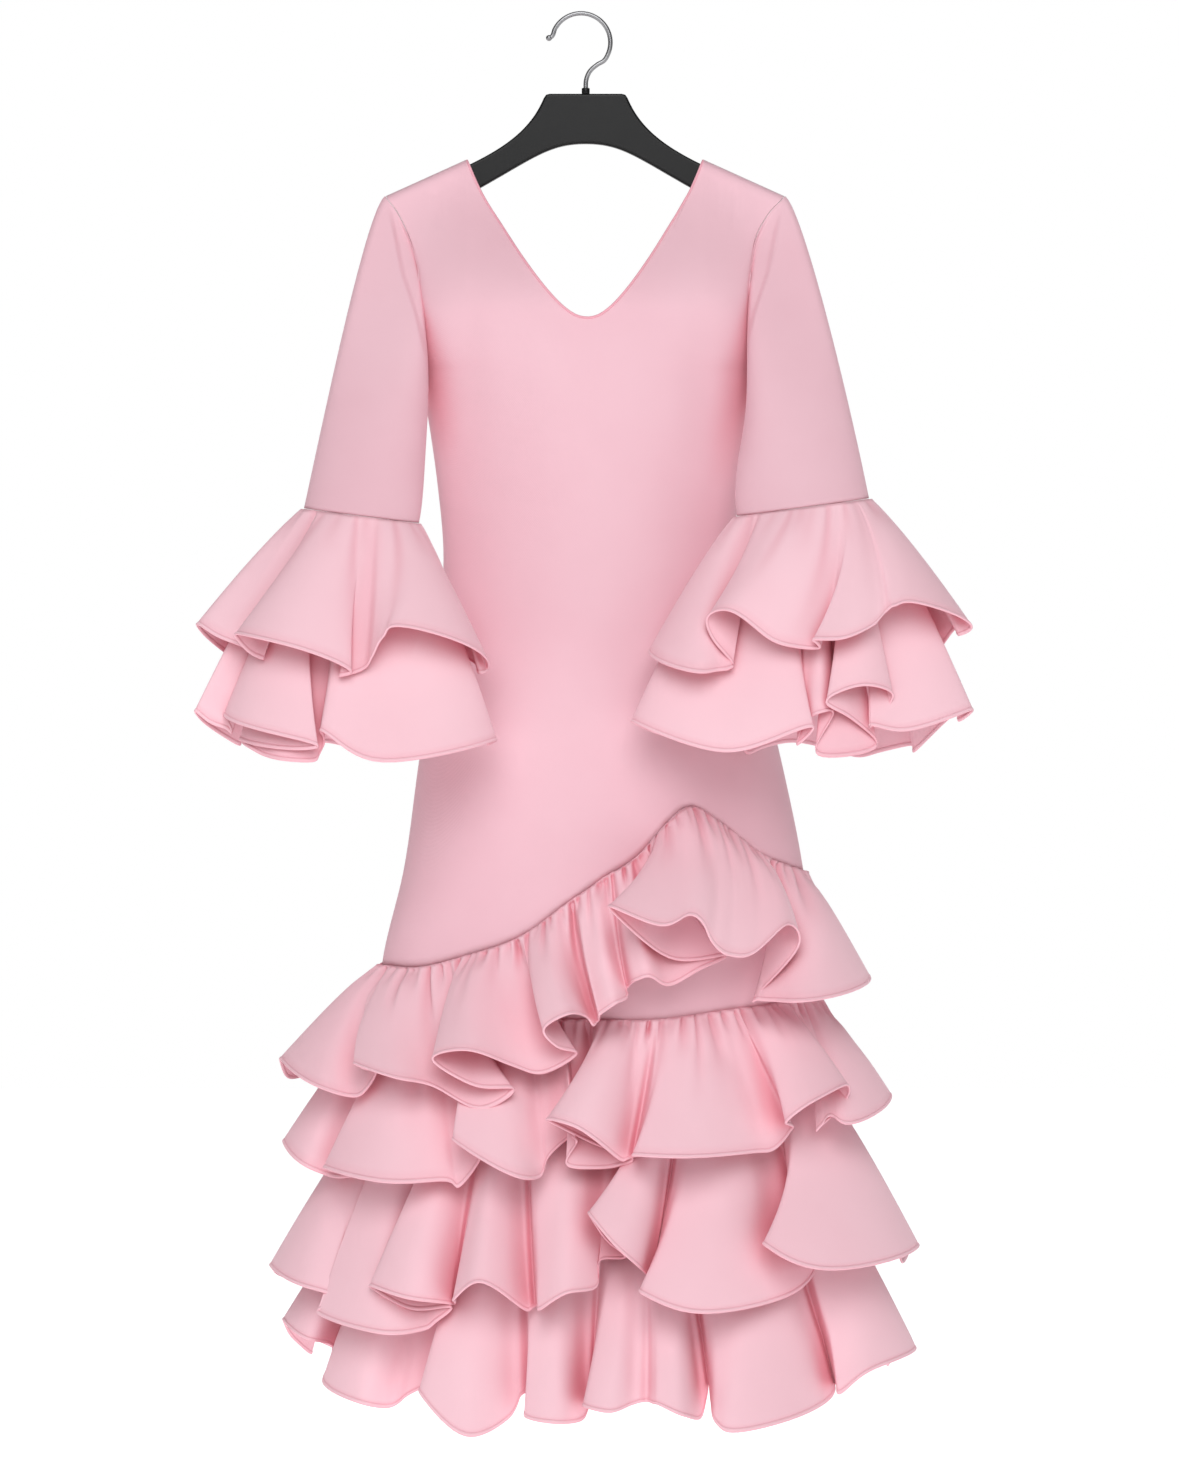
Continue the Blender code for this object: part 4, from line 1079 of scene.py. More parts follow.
# --- Flounces ---------------------------------------------------------------------------
@dataclass
class Flounce:
    """A gathered flounce once round, from its seam to its rolled hem."""

    name: str
    trunk: Trunk | CuffTrunk
    seam: Callable[[Array], Array]
    pattern: FlouncePattern
    samples: int = 9
    rows: int = 28
    row_power: float = 1.15
    soften: int = 2
    fold_power: float = 0.55
    hem: float = 3.6
    bead: float = 0.55
    hem_rows: tuple[float, ...] = (1.3, 1.12, 1.0, 0.8, 0.5, 0.2, 0.05, 0.0)
    hem_swell: tuple[float, ...] = (0.0, -0.35, 0.1, 0.8, 1.0, 0.85, 0.45, 0.1)
    # Deeper colour on the hem's stitch line: partly stitching, partly painted shadow in the groove above
    # the bead.
    stitch_and_shadow_tint: float = 0.55
    stitch_line: float = 1.1
    stitch_width: float = 0.25
    roll_tint: float = 0.35
    roll_edge: float = 0.3
    seam_tint: float = 0.4
    seam_edge: float = 0.004
    plain_end: float = 0.98
    # Painted shade laid on through the edge attribute: a deeper pink in the hollows of the folds.
    painted_valley_shade: float = 0.30
    valley_depth: float = 28.0
    valley_start: float = 0.5
    # Painted shade in the small pleats; the other pleat sizes shape the cloth.
    painted_pleat_shade: float = 0.45
    pleat_rise: float = 0.35
    pleat_start: float = 0.015
    pleat_top: float = 0.35

    @property
    def height(self) -> float:
        """Give the cut height in millimetres."""
        return self.pattern.flat[1] / MM

    def front_turns(self) -> list[HemTurn]:
        """List the hem's turning points across the front.

        Returns:
            The turning points, from the left side to the right.
        """
        level = float(np.mean(self.seam(np.zeros(1))))
        folds = self.pattern.folds
        starts = [self.trunk.turn(fold.seam, 0.0, level)[0] for fold in folds] + [QUARTER_TURN]
        turns: list[HemTurn] = []
        for fold, before, start, end in zip(folds, folds[-1:] + folds, starts, starts[1:]):
            left_out = mix(fold.reach, before.deep, before.lap)
            right_out = mix(fold.deep, fold.reach, fold.lap)
            places = (
                (fold.left, fold.left_drop, left_out),
                (fold.crest, fold.crest_drop, fold.reach),
                (fold.right, fold.right_drop, right_out),
                (fold.dip, fold.dip_drop, mix(right_out, fold.deep, DIP_SHARE)),
                (fold.tuck, fold.tuck_drop, fold.deep),
                (fold.back, fold.back_drop, mix(fold.deep, fold.reach, 0.5 - fold.lap * 0.5)),
            )
            for share, (x, drop, out) in zip(SHARES, places):
                turns.append(HemTurn(mix(start, end, share), *self.trunk.turn(x, out, drop), drop))
        reach = mix(turns[-2].reach, turns[-3].reach, SIDE_BLEND)
        drop = mix(turns[-2].drop, folds[-1].right_drop, SIDE_RISE)
        return turns[:-2] + [HemTurn(QUARTER_TURN, QUARTER_TURN + SIDE_TUCK_TURN, reach, drop)]

    def back_turns(self) -> list[HemTurn]:
        """List the hem's turning points round the back.

        Returns:
            The turning points, from the right side to the left.
        """
        around = self.pattern.around
        pitch = HALF_TURN / around.count
        turns: list[HemTurn] = []
        for number in range(around.count):
            start = QUARTER_TURN + number * pitch
            shift = UNEVEN[number % len(UNEVEN)] * pitch
            round_share = (number + 0.5) / around.count
            level = mix(around.right_drop, around.left_drop, round_share)
            crest = around.reach - around.narrow * (1.0 - round_share)
            for spot in BACK_HEM:
                seam_angle = start + min(spot.share, LAST_SHARE) * pitch
                angle = start + (spot.share + spot.bend) * pitch + shift
                reach = mix(min(around.deep, crest), crest, spot.out)
                turns.append(HemTurn(seam_angle, angle, reach, level + spot.lift * around.wave))
        return turns

    def turning_points(self) -> Array:
        """List the hem's turning points, once round from the left side of the front.

        Returns:
            Rows of seam angle, angle, reach and level.
        """
        front = self.front_turns()
        *back, last = self.back_turns()
        reach = mix(last.reach, front[0].reach, SIDE_BLEND)
        level = mix(front[0].drop, last.drop, self.pattern.around.curl)
        return np.array(front + back + [HemTurn(last.seam_angle, last.angle, reach, level)])

    def hem_line(self) -> Array:
        """Draw the smooth hem through its turning points.

        Returns:
            Rows of seam angle, angle, reach and level, all round.
        """
        turns = self.turning_points()
        count = len(turns)
        lap = np.array((FULL_TURN, FULL_TURN, 0.0, 0.0))
        wrapped = np.concatenate((turns[-2:] - lap, turns, turns[:3] + lap))
        share = np.arange(self.samples)[:, None] / self.samples
        line = []
        for index in range(count):
            before, start, end, after = wrapped[index + 1 : index + 5]
            piece = hermite(share, start, end, (end - before) / 2.0, (after - start) / 2.0)
            piece[:, 0] = mix(start[0], end[0], share[:, 0])
            line.append(piece)
        hem = np.concatenate(line)
        for _ in range(self.soften):
            before = np.concatenate((hem[-1:] - lap, hem[:-1]))
            after = np.concatenate((hem[1:], hem[:1] + lap))
            hem = (before + 2.0 * hem + after) / 4.0
        return hem

    def row_shares(self) -> tuple[Array, Array]:
        """Give the rows from seam to hem and how far each swells.

        Returns:
            Shares of the height, and the swelling in millimetres, fullest in the hem.
        """
        hem = self.hem / self.height
        plain = np.linspace(0.0, 1.0, self.rows) ** self.row_power
        plain = plain[plain < self.plain_end - hem]
        rolled = 1.0 - hem * np.array(self.hem_rows)
        swell = self.bead * np.array(self.hem_swell)
        return np.concatenate((plain, rolled)), np.concatenate((np.zeros_like(plain), swell))

    def edge_tint(self, share: Array, columns: int) -> Array:
        """Give how deep the colour is, at the seam and along the rolled hem; on the stitch line above the
        bead it is partly stitching and partly painted shadow.

        Args:
            share: The rows' shares of the height.
            columns: The number of points in a row.

        Returns:
            A tint for each point of both faces.
        """
        up = (1.0 - share) * self.height / self.hem
        # Partly stitching, partly painted shadow above the bead.
        stitch_and_shadow_line = np.exp(-(((up - self.stitch_line) / self.stitch_width) ** 2))
        tint = self.stitch_and_shadow_tint * stitch_and_shadow_line + self.roll_tint * (up < self.roll_edge)
        tint = tint + self.seam_tint * (share < self.seam_edge)
        return np.tile(np.repeat(tint, columns), 2)

    def gather_depth(self, along: Array, share: Array) -> Array:
        """Give how deep the small pleats are.

        Args:
            along: How far along the seam each column lies, in millimetres.
            share: The rows' shares of the height.

        Returns:
            Depths in millimetres, rows by columns.
        """
        gathers = self.pattern.gathers
        depth = np.zeros((len(share), len(along)))
        length = along[-1] + along[1]
        count = int(length / gathers.pitch)
        for number in range(count):
            uneven = UNEVEN[(3 * number) % len(UNEVEN)] + 2.0 * UNEVEN[(5 * number + 2) % len(UNEVEN)]
            middle = (number + 0.5 + uneven) * length / count
            reach = gathers.length * mix(*gathers.lengths, cycle(number, 7, 5) ** 2)
            width = gathers.pitch * mix(*gathers.widths, cycle(number, 3, 4))
            strong = gathers.depth * mix(*gathers.depths, cycle(number, 5, 3))
            widen = 1.0 + gathers.spread * share[:, None] / reach
            across = np.exp(-(((along[None, :] - middle) / (width * widen)) ** 2))
            start = smooth(share[:, None] / self.pleat_start + self.pleat_top)
            depth += strong * across * start * (1.0 - smooth(share[:, None] / reach))
        return depth

    def report(self, points: Array) -> None:
        """Report the lengths of the hem and the seam, and the height, in metres.

        Args:
            points: The flounce's outer face.
        """
        round_length = np.linalg.norm(np.roll(points, -1, 1) - points, axis=2).sum(1)
        height = np.linalg.norm(np.diff(points, axis=0), axis=2).sum(0).mean()
        sizes = (self.name, round_length[-1], round_length[0], height)
        LOG.info("%s: hem %.2f, seam %.2f, height %.3f", *sizes)

    def build(self, surface: bpy.types.Material) -> None:
        """Build the flounce.

        Args:
            surface: The cloth's material.
        """
        lift = self.pattern.lift
        gathers = self.pattern.gathers
        seam_angle, angle, reach, drop = self.hem_line().T
        share, swell = self.row_shares()
        top = self.seam(seam_angle) + SEAM_GAP
        down = share[:, None]
        flare = float(reach.mean())
        swing = reach - flare
        swing = np.where(swing < 0.0, swing * down**self.fold_power, swing * down**FLARE_POWER)
        out = np.maximum(mix(lift, flare, down**FLARE_POWER) + swing, lift * (1.0 - down))
        # Painted shade: a deeper pink in the fold valleys, where the hem swings in.
        low = smooth((flare - reach) / self.valley_depth)
        painted_fold_shade = self.painted_valley_shade * low * smooth(down / self.valley_start)
        if gathers:
            edge = self.trunk.point(seam_angle, 0.0, top)
            step = np.linalg.norm(np.roll(edge, -1, 0) - edge, axis=1) / MM
            along = np.concatenate(((0.0,), np.cumsum(step)[:-1]))
            pleats = self.gather_depth(along, share)
            out = out - pleats + gathers.depth * self.pleat_rise * (1.0 - down)
            top = top + pleats[0] * gathers.scallop
            # Painted shade in the small pleats.
            painted_fold_shade = painted_fold_shade + self.painted_pleat_shade * np.minimum(pleats / gathers.depth, 1.0)
        points = self.trunk.point(mix(seam_angle, angle, down), out, mix(top, drop, down))
        self.report(points)
        # The edge attribute carries the seam and hem colours plus the painted shade of valleys and
        # pleats.
        tint = self.edge_tint(share, len(reach)) + np.tile(painted_fold_shade.reshape(-1), 2)
        cloth = shell(points, True, swell)
        piece = add_piece(f"{self.name}_cloth", self.name, Slot.CREPE, *cloth, surface, edge=tint)


# --- Bodice and underskirt --------------------------------------------------------------
@dataclass
class Bodice:
    """The front and back panels, from the shoulders to the first flounce's seam."""

    trunk: Trunk
    seam: Callable[[Array], Array]
    columns: int = 151
    outer_columns: int = 40
    yoke_rows: int = 46
    yoke_power: float = 1.3
    lower_rows: int = 60
    armpit: float = 350.0
    armhole_depth: float = 40.0
    armhole_skew: float = 0.8
    armhole_fullness: float = 0.7
    shoulder_x: float = 199.0
    shoulder_drop: float = 178.0
    neck_x: float = 119.0
    neck_top: float = 141.8
    neck_bottom: float = 301.0
    neck_middle: float = 2.5
    back_neck_extra: float = 4.0
    ridge: float = 8.5
    crease_start: float = 12.0
    crease_rise: float = 0.25
    crease_top: float = 0.2
    crease_fade: float = 0.45
    chest_fall: float = 150.0
    halvings: int = 40
    binding_half: float = 1.25
    binding_inset: float = 1.0
    binding_flat: float = 0.8
    binding_sides: int = 10
    flat: tuple[float, float] = (0.50, 0.84)
    cut_area: float = 0.28
    creases: tuple[Crease, ...] = (
        Crease(-118, 182, -112, 520, 20, 2.6),
        Crease(-86, 200, -60, 470, 26, 1.4),
        Crease(121, 190, 112, 500, 20, 2.6),
        Crease(88, 215, 62, 480, 26, 1.4),
        Crease(-150, 168, -148, 215, 5, 1.7),
        Crease(150, 168, 149, 218, 5, 1.7),
        Crease(-132, 158, -131, 200, 6, 1.2),
        Crease(134, 158, 133, 200, 6, 1.2),
        Crease(46, 560, 42, 850, 26, 2.2),
        Crease(-100, 600, -112, 930, 30, 2.4),
        Crease(-30, 640, -36, 900, 36, 1.8),
        Crease(118, 600, 138, 800, 30, 2.2),
    )

    def shoulder_line(self, x: Array) -> Array:
        """Give the level of the shoulder seam at an x."""
        reach = np.clip((np.abs(x) - self.neck_x) / (self.shoulder_x - self.neck_x), 0.0, 1.0)
        return mix(self.neck_top, self.shoulder_drop, reach)

    def top_line(self, x: Array, bottom: float) -> Array:
        """Give the level of a panel's top edge.

        Args:
            x: Places to the right.
            bottom: The level of the neckline's lowest point.

        Returns:
            The shoulder's level, or the neckline's between the shoulders.
        """
        line = curve([knot.x for knot in NECKLINE], [knot.drop for knot in NECKLINE])
        side = np.where(x < self.neck_middle, -self.neck_x, self.neck_x)
        inner = (x - side) / (self.neck_middle - side)
        neck = mix(self.neck_top, bottom, line(inner))
        return np.where(np.abs(x) >= self.neck_x, self.shoulder_line(x), neck)

    def crease_depth(self, x: Array, drop: Array) -> Array:
        """Give how deep the soft troughs are.

        Args:
            x: Places to the right.
            drop: Levels.

        Returns:
            Depths in millimetres.
        """
        depth = np.zeros(np.broadcast(x, drop).shape)
        for crease in self.creases:
            share = (drop - crease.top_drop) / (crease.low_drop - crease.top_drop)
            middle = mix(crease.top_x, crease.low_x, share)
            rise = smooth(share / self.crease_rise + self.crease_top)
            fade = rise * smooth((1.0 - share) / self.crease_fade)
            depth += crease.depth * fade * np.exp(-(((x - middle) / crease.width) ** 2))
        return depth

    def panel_point(self, angle: Array, drop: Array, facing: Facing) -> Array:
        """Give points of a panel's outer face.

        Args:
            angle: Angles across the panel, 0 in the middle.
            drop: Levels.
            facing: The panel's side.

        Returns:
            The points, in metres.
        """
        x = self.trunk.middle(drop) + self.trunk.half_width(drop) * np.sin(angle)
        share = np.clip((drop - self.shoulder_drop) / (self.armpit - self.shoulder_drop), 0.0, 1.0)
        bow = np.maximum(np.sin(HALF_TURN * share**self.armhole_skew), 0.0)
        edge = self.armhole_depth * bow**self.armhole_fullness
        below = drop - self.shoulder_line(x)
        round_share = 1.0 - np.minimum(below / self.ridge, 1.0)
        ridge = self.ridge * np.sqrt(np.maximum(0.0, 1.0 - round_share**2))
        full = mix(edge, self.trunk.depth(drop), np.maximum(np.cos(angle), 0.0))
        y = mix(ridge, full, smooth(below / self.chest_fall))
        y = y - self.crease_depth(x, drop) * smooth(below / self.crease_start) * np.cos(angle) ** 0.5
        return place(x, facing.value * np.maximum(y, SEAM_GAP / 2.0), drop)

    def top_drops(self, angle: Array, bottom: float) -> Array:
        """Find the level at which each column meets the top edge.

        Args:
            angle: The columns' angles.
            bottom: The level of the neckline's lowest point.

        Returns:
            A level for each column.
        """
        low = np.full_like(angle, self.neck_top)
        high = np.full_like(angle, bottom + 1.0)
        for _ in range(self.halvings):
            drop = (low + high) / 2.0
            x = self.trunk.middle(drop) + self.trunk.half_width(drop) * np.sin(angle)
            above = drop < self.top_line(x, bottom)
            low = np.where(above, drop, low)
            high = np.where(above, high, drop)
        return (low + high) / 2.0

    def column_angles(self) -> Array:
        """Space the columns, closer together at the neck points.

        Returns:
            An angle for each column.
        """
        neck = math.asin(self.neck_x / self.shoulder_x)
        outer = np.linspace(-QUARTER_TURN + SIDE_MARGIN, -neck, self.outer_columns, endpoint=False)
        inner = -neck * np.cos(np.linspace(0.0, HALF_TURN, self.columns - 2 * self.outer_columns))
        return np.concatenate((outer, inner, -outer[::-1]))

    def rows(self, facing: Facing) -> Array:
        """Lay out one panel.

        Args:
            facing: The panel's side.

        Returns:
            The grid of its outer face, in metres.
        """
        bottom = self.neck_bottom + (self.back_neck_extra if facing is Facing.BACK else 0.0)
        angle = self.column_angles()
        top = self.top_drops(angle, bottom)
        turned = angle if facing is Facing.FRONT else HALF_TURN - angle
        end = self.seam(turned)
        yoke = np.linspace(0.0, 1.0, self.yoke_rows, endpoint=False)[:, None] ** self.yoke_power
        lower = np.linspace(0.0, 1.0, self.lower_rows)[:, None]
        drop = np.concatenate((mix(top, self.armpit, yoke), mix(self.armpit, end, lower)))
        points = self.panel_point(angle[None, :], drop, facing)
        return points if facing is Facing.FRONT else points[:, ::-1]

    def armhole(self, side: Side, count: int) -> tuple[Array, Array]:
        """List the points round an armhole, from the shoulder round the front.

        Args:
            side: The wearer's side.
            count: The number of points.

        Returns:
            The points, and each one's turn round the armhole.
        """
        turn = np.arange(count) * FULL_TURN / count
        share = (1.0 - np.cos(turn)) / 2.0
        drop = mix(self.shoulder_drop, self.armpit, share)
        angle = np.full_like(drop, side.value * (QUARTER_TURN - SIDE_MARGIN))
        front = self.panel_point(angle, drop, Facing.FRONT)
        behind = self.panel_point(angle, drop, Facing.BACK)
        return np.where((turn <= HALF_TURN)[:, None], front, behind), turn

    def build(self, surface: bpy.types.Material, edging: bpy.types.Material) -> None:
        """Build both panels and the binding round the neck.

        Args:
            surface: The cloth's material.
            edging: The binding's material.
        """
        edges = []
        for facing in Facing:
            points = self.rows(facing)
            name = facing.name.lower()
            cloth = shell(points, False, np.zeros(len(points)))
            piece = add_piece(f"{name}_panel", name, Slot.CREPE, *cloth, surface)
            edges.append(points[0, self.outer_columns : -self.outer_columns])
        self.build_binding(edges, edging)

    def build_binding(self, edges: list[Array], surface: bpy.types.Material) -> None:
        """Build the narrow rounded binding round the neckline.

        Args:
            edges: The front's and the back's edge points.
            surface: The binding's material.
        """
        loop = np.concatenate((edges[0][1:-1], edges[1][1:-1]))
        centre = loop.mean(0)
        inward = centre - loop
        inward[:, 1] = 0.0
        inward /= np.linalg.norm(inward, axis=1, keepdims=True)
        route = loop + inward * self.binding_inset * MM
        turn = np.arange(self.binding_sides) * FULL_TURN / self.binding_sides
        rounds = self.binding_half * MM * np.stack((np.cos(turn), self.binding_flat * np.sin(turn)), -1)
        add_piece("neck_edge", "neck_binding", Slot.EDGING, *sweep(route, rounds, True), surface)


@dataclass
class Underskirt:
    """The plain skirt that carries the lower flounces, in two halves."""

    trunk: Trunk
    top_seam: Callable[[Array], Array]
    last_seam: Callable[[Array], Array]
    end: float = 12.0
    columns: int = 72
    row_count: int = 40
    flat: tuple[float, float] = (0.56, 0.46)
    cut_area: float = 0.175

    def build(self, surface: bpy.types.Material) -> None:
        """Build both halves.

        Args:
            surface: The cloth's material.
        """
        share = np.linspace(0.0, 1.0, self.row_count)[:, None]
        angle = np.linspace(-QUARTER_TURN, QUARTER_TURN, self.columns)
        for facing in Facing:
            turned = angle if facing is Facing.FRONT else HALF_TURN - angle
            top = self.top_seam(turned) + SEAM_GAP
            low = self.last_seam(turned) + self.end
            points = self.trunk.point(turned[None, :], 0.0, mix(top, low, share))
            points[..., 1] = facing.value * np.maximum(np.abs(points[..., 1]), SEAM_GAP * MM / 2.0)
            if facing is Facing.BACK:
                points = points[:, ::-1]
            name = f"skirt_{facing.name.lower()}"
            cloth = shell(points, False, np.zeros(self.row_count))
            piece = add_piece(f"{name}_panel", name, Slot.CREPE, *cloth, surface)


# --- Sleeves ----------------------------------------------------------------------------
@dataclass
class Sleeve:
    """A set-in bell sleeve with two flounces in the seam at its end."""

    side: Side
    cuff: Cuff
    bodice: Bodice
    lap: tuple[float, float, float] = (-0.22, -0.12, -0.04)
    columns: int = 140
    row_count: int = 84
    gap: float = 0.75
    fall_share: float = 0.38
    leave_top: tuple[float, float, float] = (0.05, -0.01, -0.03)
    leave_under: tuple[float, float, float] = (0.12, -0.10, -0.20)
    fold: tuple[Knot, ...] = knots((199, 183), (184, 257), (171, 296), (159, 344), (156, 386))
    recess: float = 4.5
    recess_width: float = 5.0
    recess_front: float = 0.5
    recess_share: float = 0.05
    recess_start: float = 40.0
    recess_end: float = 30.0
    flat: tuple[float, float] = (0.34, 0.36)
    cut_area: float = 0.072

    def ends(self, turn: Array) -> Array:
        """Give the ring of the sleeve's end.

        Args:
            turn: Turns round it, from the outer side over the front.

        Returns:
            The points, in metres.
        """
        x = self.side.value * self.cuff.half_width * np.cos(turn)
        y = self.cuff.forward - self.cuff.half_depth * np.sin(turn)
        return place(self.cuff.middle + x, y, self.cuff.drop + self.cuff.tilt * x)

    def rows(self) -> Array:
        """Lay out the sleeve.

        Returns:
            The grid of its outer face, in metres.
        """
        starts, turn = self.bodice.armhole(self.side, self.columns)
        starts = starts + np.array((self.side.value * self.gap * MM, 0.0, 0.0))
        ends = self.ends(turn)
        fall = ends.mean(0) - starts.mean(0)
        fall /= np.linalg.norm(fall)
        length = np.linalg.norm(ends - starts, axis=1)[:, None]
        under = ((1.0 - np.cos(turn)) / 2.0)[:, None]
        leave = mix(np.array(self.leave_top), np.array(self.leave_under), under)
        leave = leave + np.maximum(0.0, np.sin(turn))[:, None] ** 0.5 * under * np.array(self.lap)
        leave[:, 0] *= self.side.value
        first = starts + leave * length
        second = ends - fall * length * self.fall_share
        share = np.linspace(0.0, 1.0, self.row_count)[:, None, None]
        points = bezier((starts, first, second, ends), share)
        points[:, :, 1] += self.fold_depth(points, turn, share[:, :, 0]) * MM
        if self.side is Side.LEFT:
            points = np.roll(points[:, ::-1], 1, 1)
        return points

    def fold_depth(self, points: Array, turn: Array, share: Array) -> Array:
        """Give how far the cloth beside the armhole sits back behind the sleeve's front fold.

        Args:
            points: The sleeve's grid, in metres.
            turn: Turns round the sleeve, one per column.
            share: The rows' shares of the length, as a column.

        Returns:
            Depths in millimetres, rows by columns.
        """
        x = points[:, :, 0] / MM + ORIGIN_X
        drop = ORIGIN_DROP - points[:, :, 2] / MM
        first, last = self.fold[0].drop, self.fold[-1].drop
        line = np.interp(drop, [knot.drop for knot in self.fold], [knot.x for knot in self.fold])
        inside = smooth((line - self.side.value * x) / self.recess_width)
        front = smooth(np.sin(turn)[None, :] / self.recess_front)
        start = smooth(share / self.recess_share) * smooth((drop - first) / self.recess_start)
        end = smooth((last + self.recess_end - drop) / self.recess_end)
        return self.recess * inside * front * start * end

    def build(self, surface: bpy.types.Material, frill: bpy.types.Material) -> None:
        """Build the sleeve and its flounces.

        Args:
            surface: The tube's material.
            frill: The flounces' material.
        """
        side = self.side.name.lower()
        name = f"sleeve_{side}"
        cloth = shell(self.rows(), True, np.zeros(self.row_count))
        piece = add_piece(f"{name}_tube", name, Slot.CREPE, *cloth, surface)
        trunk = CuffTrunk(self.cuff)
        for level, pattern in (("upper", self.cuff.upper), ("lower", self.cuff.lower)):
            Flounce(f"cuff_{level}_{side}", trunk, trunk.seam_drop, pattern).build(frill)


# --- Hanger and hook --------------------------------------------------------------------
def bend(control: Sequence[Knot], steps: int) -> list[tuple[float, float]]:
    """Draw a curved edge without its last point.

    Args:
        control: Its four control points.
        steps: The number of straight runs.

    Returns:
        Places as x and drop.
    """
    share = np.arange(steps) / steps
    x = bezier([knot.x for knot in control], share)
    drop = bezier([knot.drop for knot in control], share)
    return list(zip(x, drop))


@dataclass
class Hanger:
    """The flat moulded hanger with softly rounded edges."""

    middle: float = 0.7
    thickness: float = 10.0
    rounding: float = 2.4
    steps: int = 28
    bevel_steps: int = 4
    bevel_angle: float = 50.0
    sharp_angle: float = 40.0
    corner: tuple[Knot, ...] = knots((36.0, 76.0), (39.6, 77.0))
    upper: tuple[Knot, ...] = knots((42.0, 80.5), (54.0, 109.0), (76.0, 127.5), (118.0, 147.6))
    tip: tuple[Knot, ...] = knots((118.0, 147.6), (180.0, 177.5), (187.0, 186.0), (181.0, 196.0))
    lower: tuple[Knot, ...] = knots((107.0, 171.0), (50.0, 139.0), (36.0, 126.0), (0.0, 126.0))

    def outline(self) -> list[tuple[float, float]]:
        """Draw the outline once round, from the top's right corner.

        Returns:
            Places as x and drop.
        """
        half = [(knot.x, knot.drop) for knot in self.corner]
        half += bend(self.upper, self.steps)
        half += [(knot.x, knot.drop) for knot in self.tip]
        half += bend(self.lower, self.steps)
        crotch = self.lower[-1]
        return half + [(crotch.x, crotch.drop)] + [(-x, drop) for x, drop in reversed(half)]

    def build(self, surface: bpy.types.Material) -> None:
        """Build the hanger.

        Args:
            surface: Its material.
        """
        outline = np.array(self.outline())
        count = len(outline)
        faces = [list(range(count)), list(range(2 * count - 1, count - 1, -1))]
        for corner in range(count):
            after = (corner + 1) % count
            faces.append([corner, corner + count, after + count, after])
        points = np.tile(place(self.middle + outline[:, 0], 0.0, outline[:, 1]), (2, 1))
        points[:, 1] = np.repeat((-self.thickness, self.thickness), count) / 2.0 * MM
        piece = add_piece("hanger_body", "hanger", Slot.PLASTIC, points, faces, surface, self.sharp_angle)
        rounding = piece.modifiers.new("rounded edges", "BEVEL")
        rounding.width = self.rounding * MM
        rounding.segments = self.bevel_steps
        rounding.limit_method = "ANGLE"
        rounding.angle_limit = math.radians(self.bevel_angle)


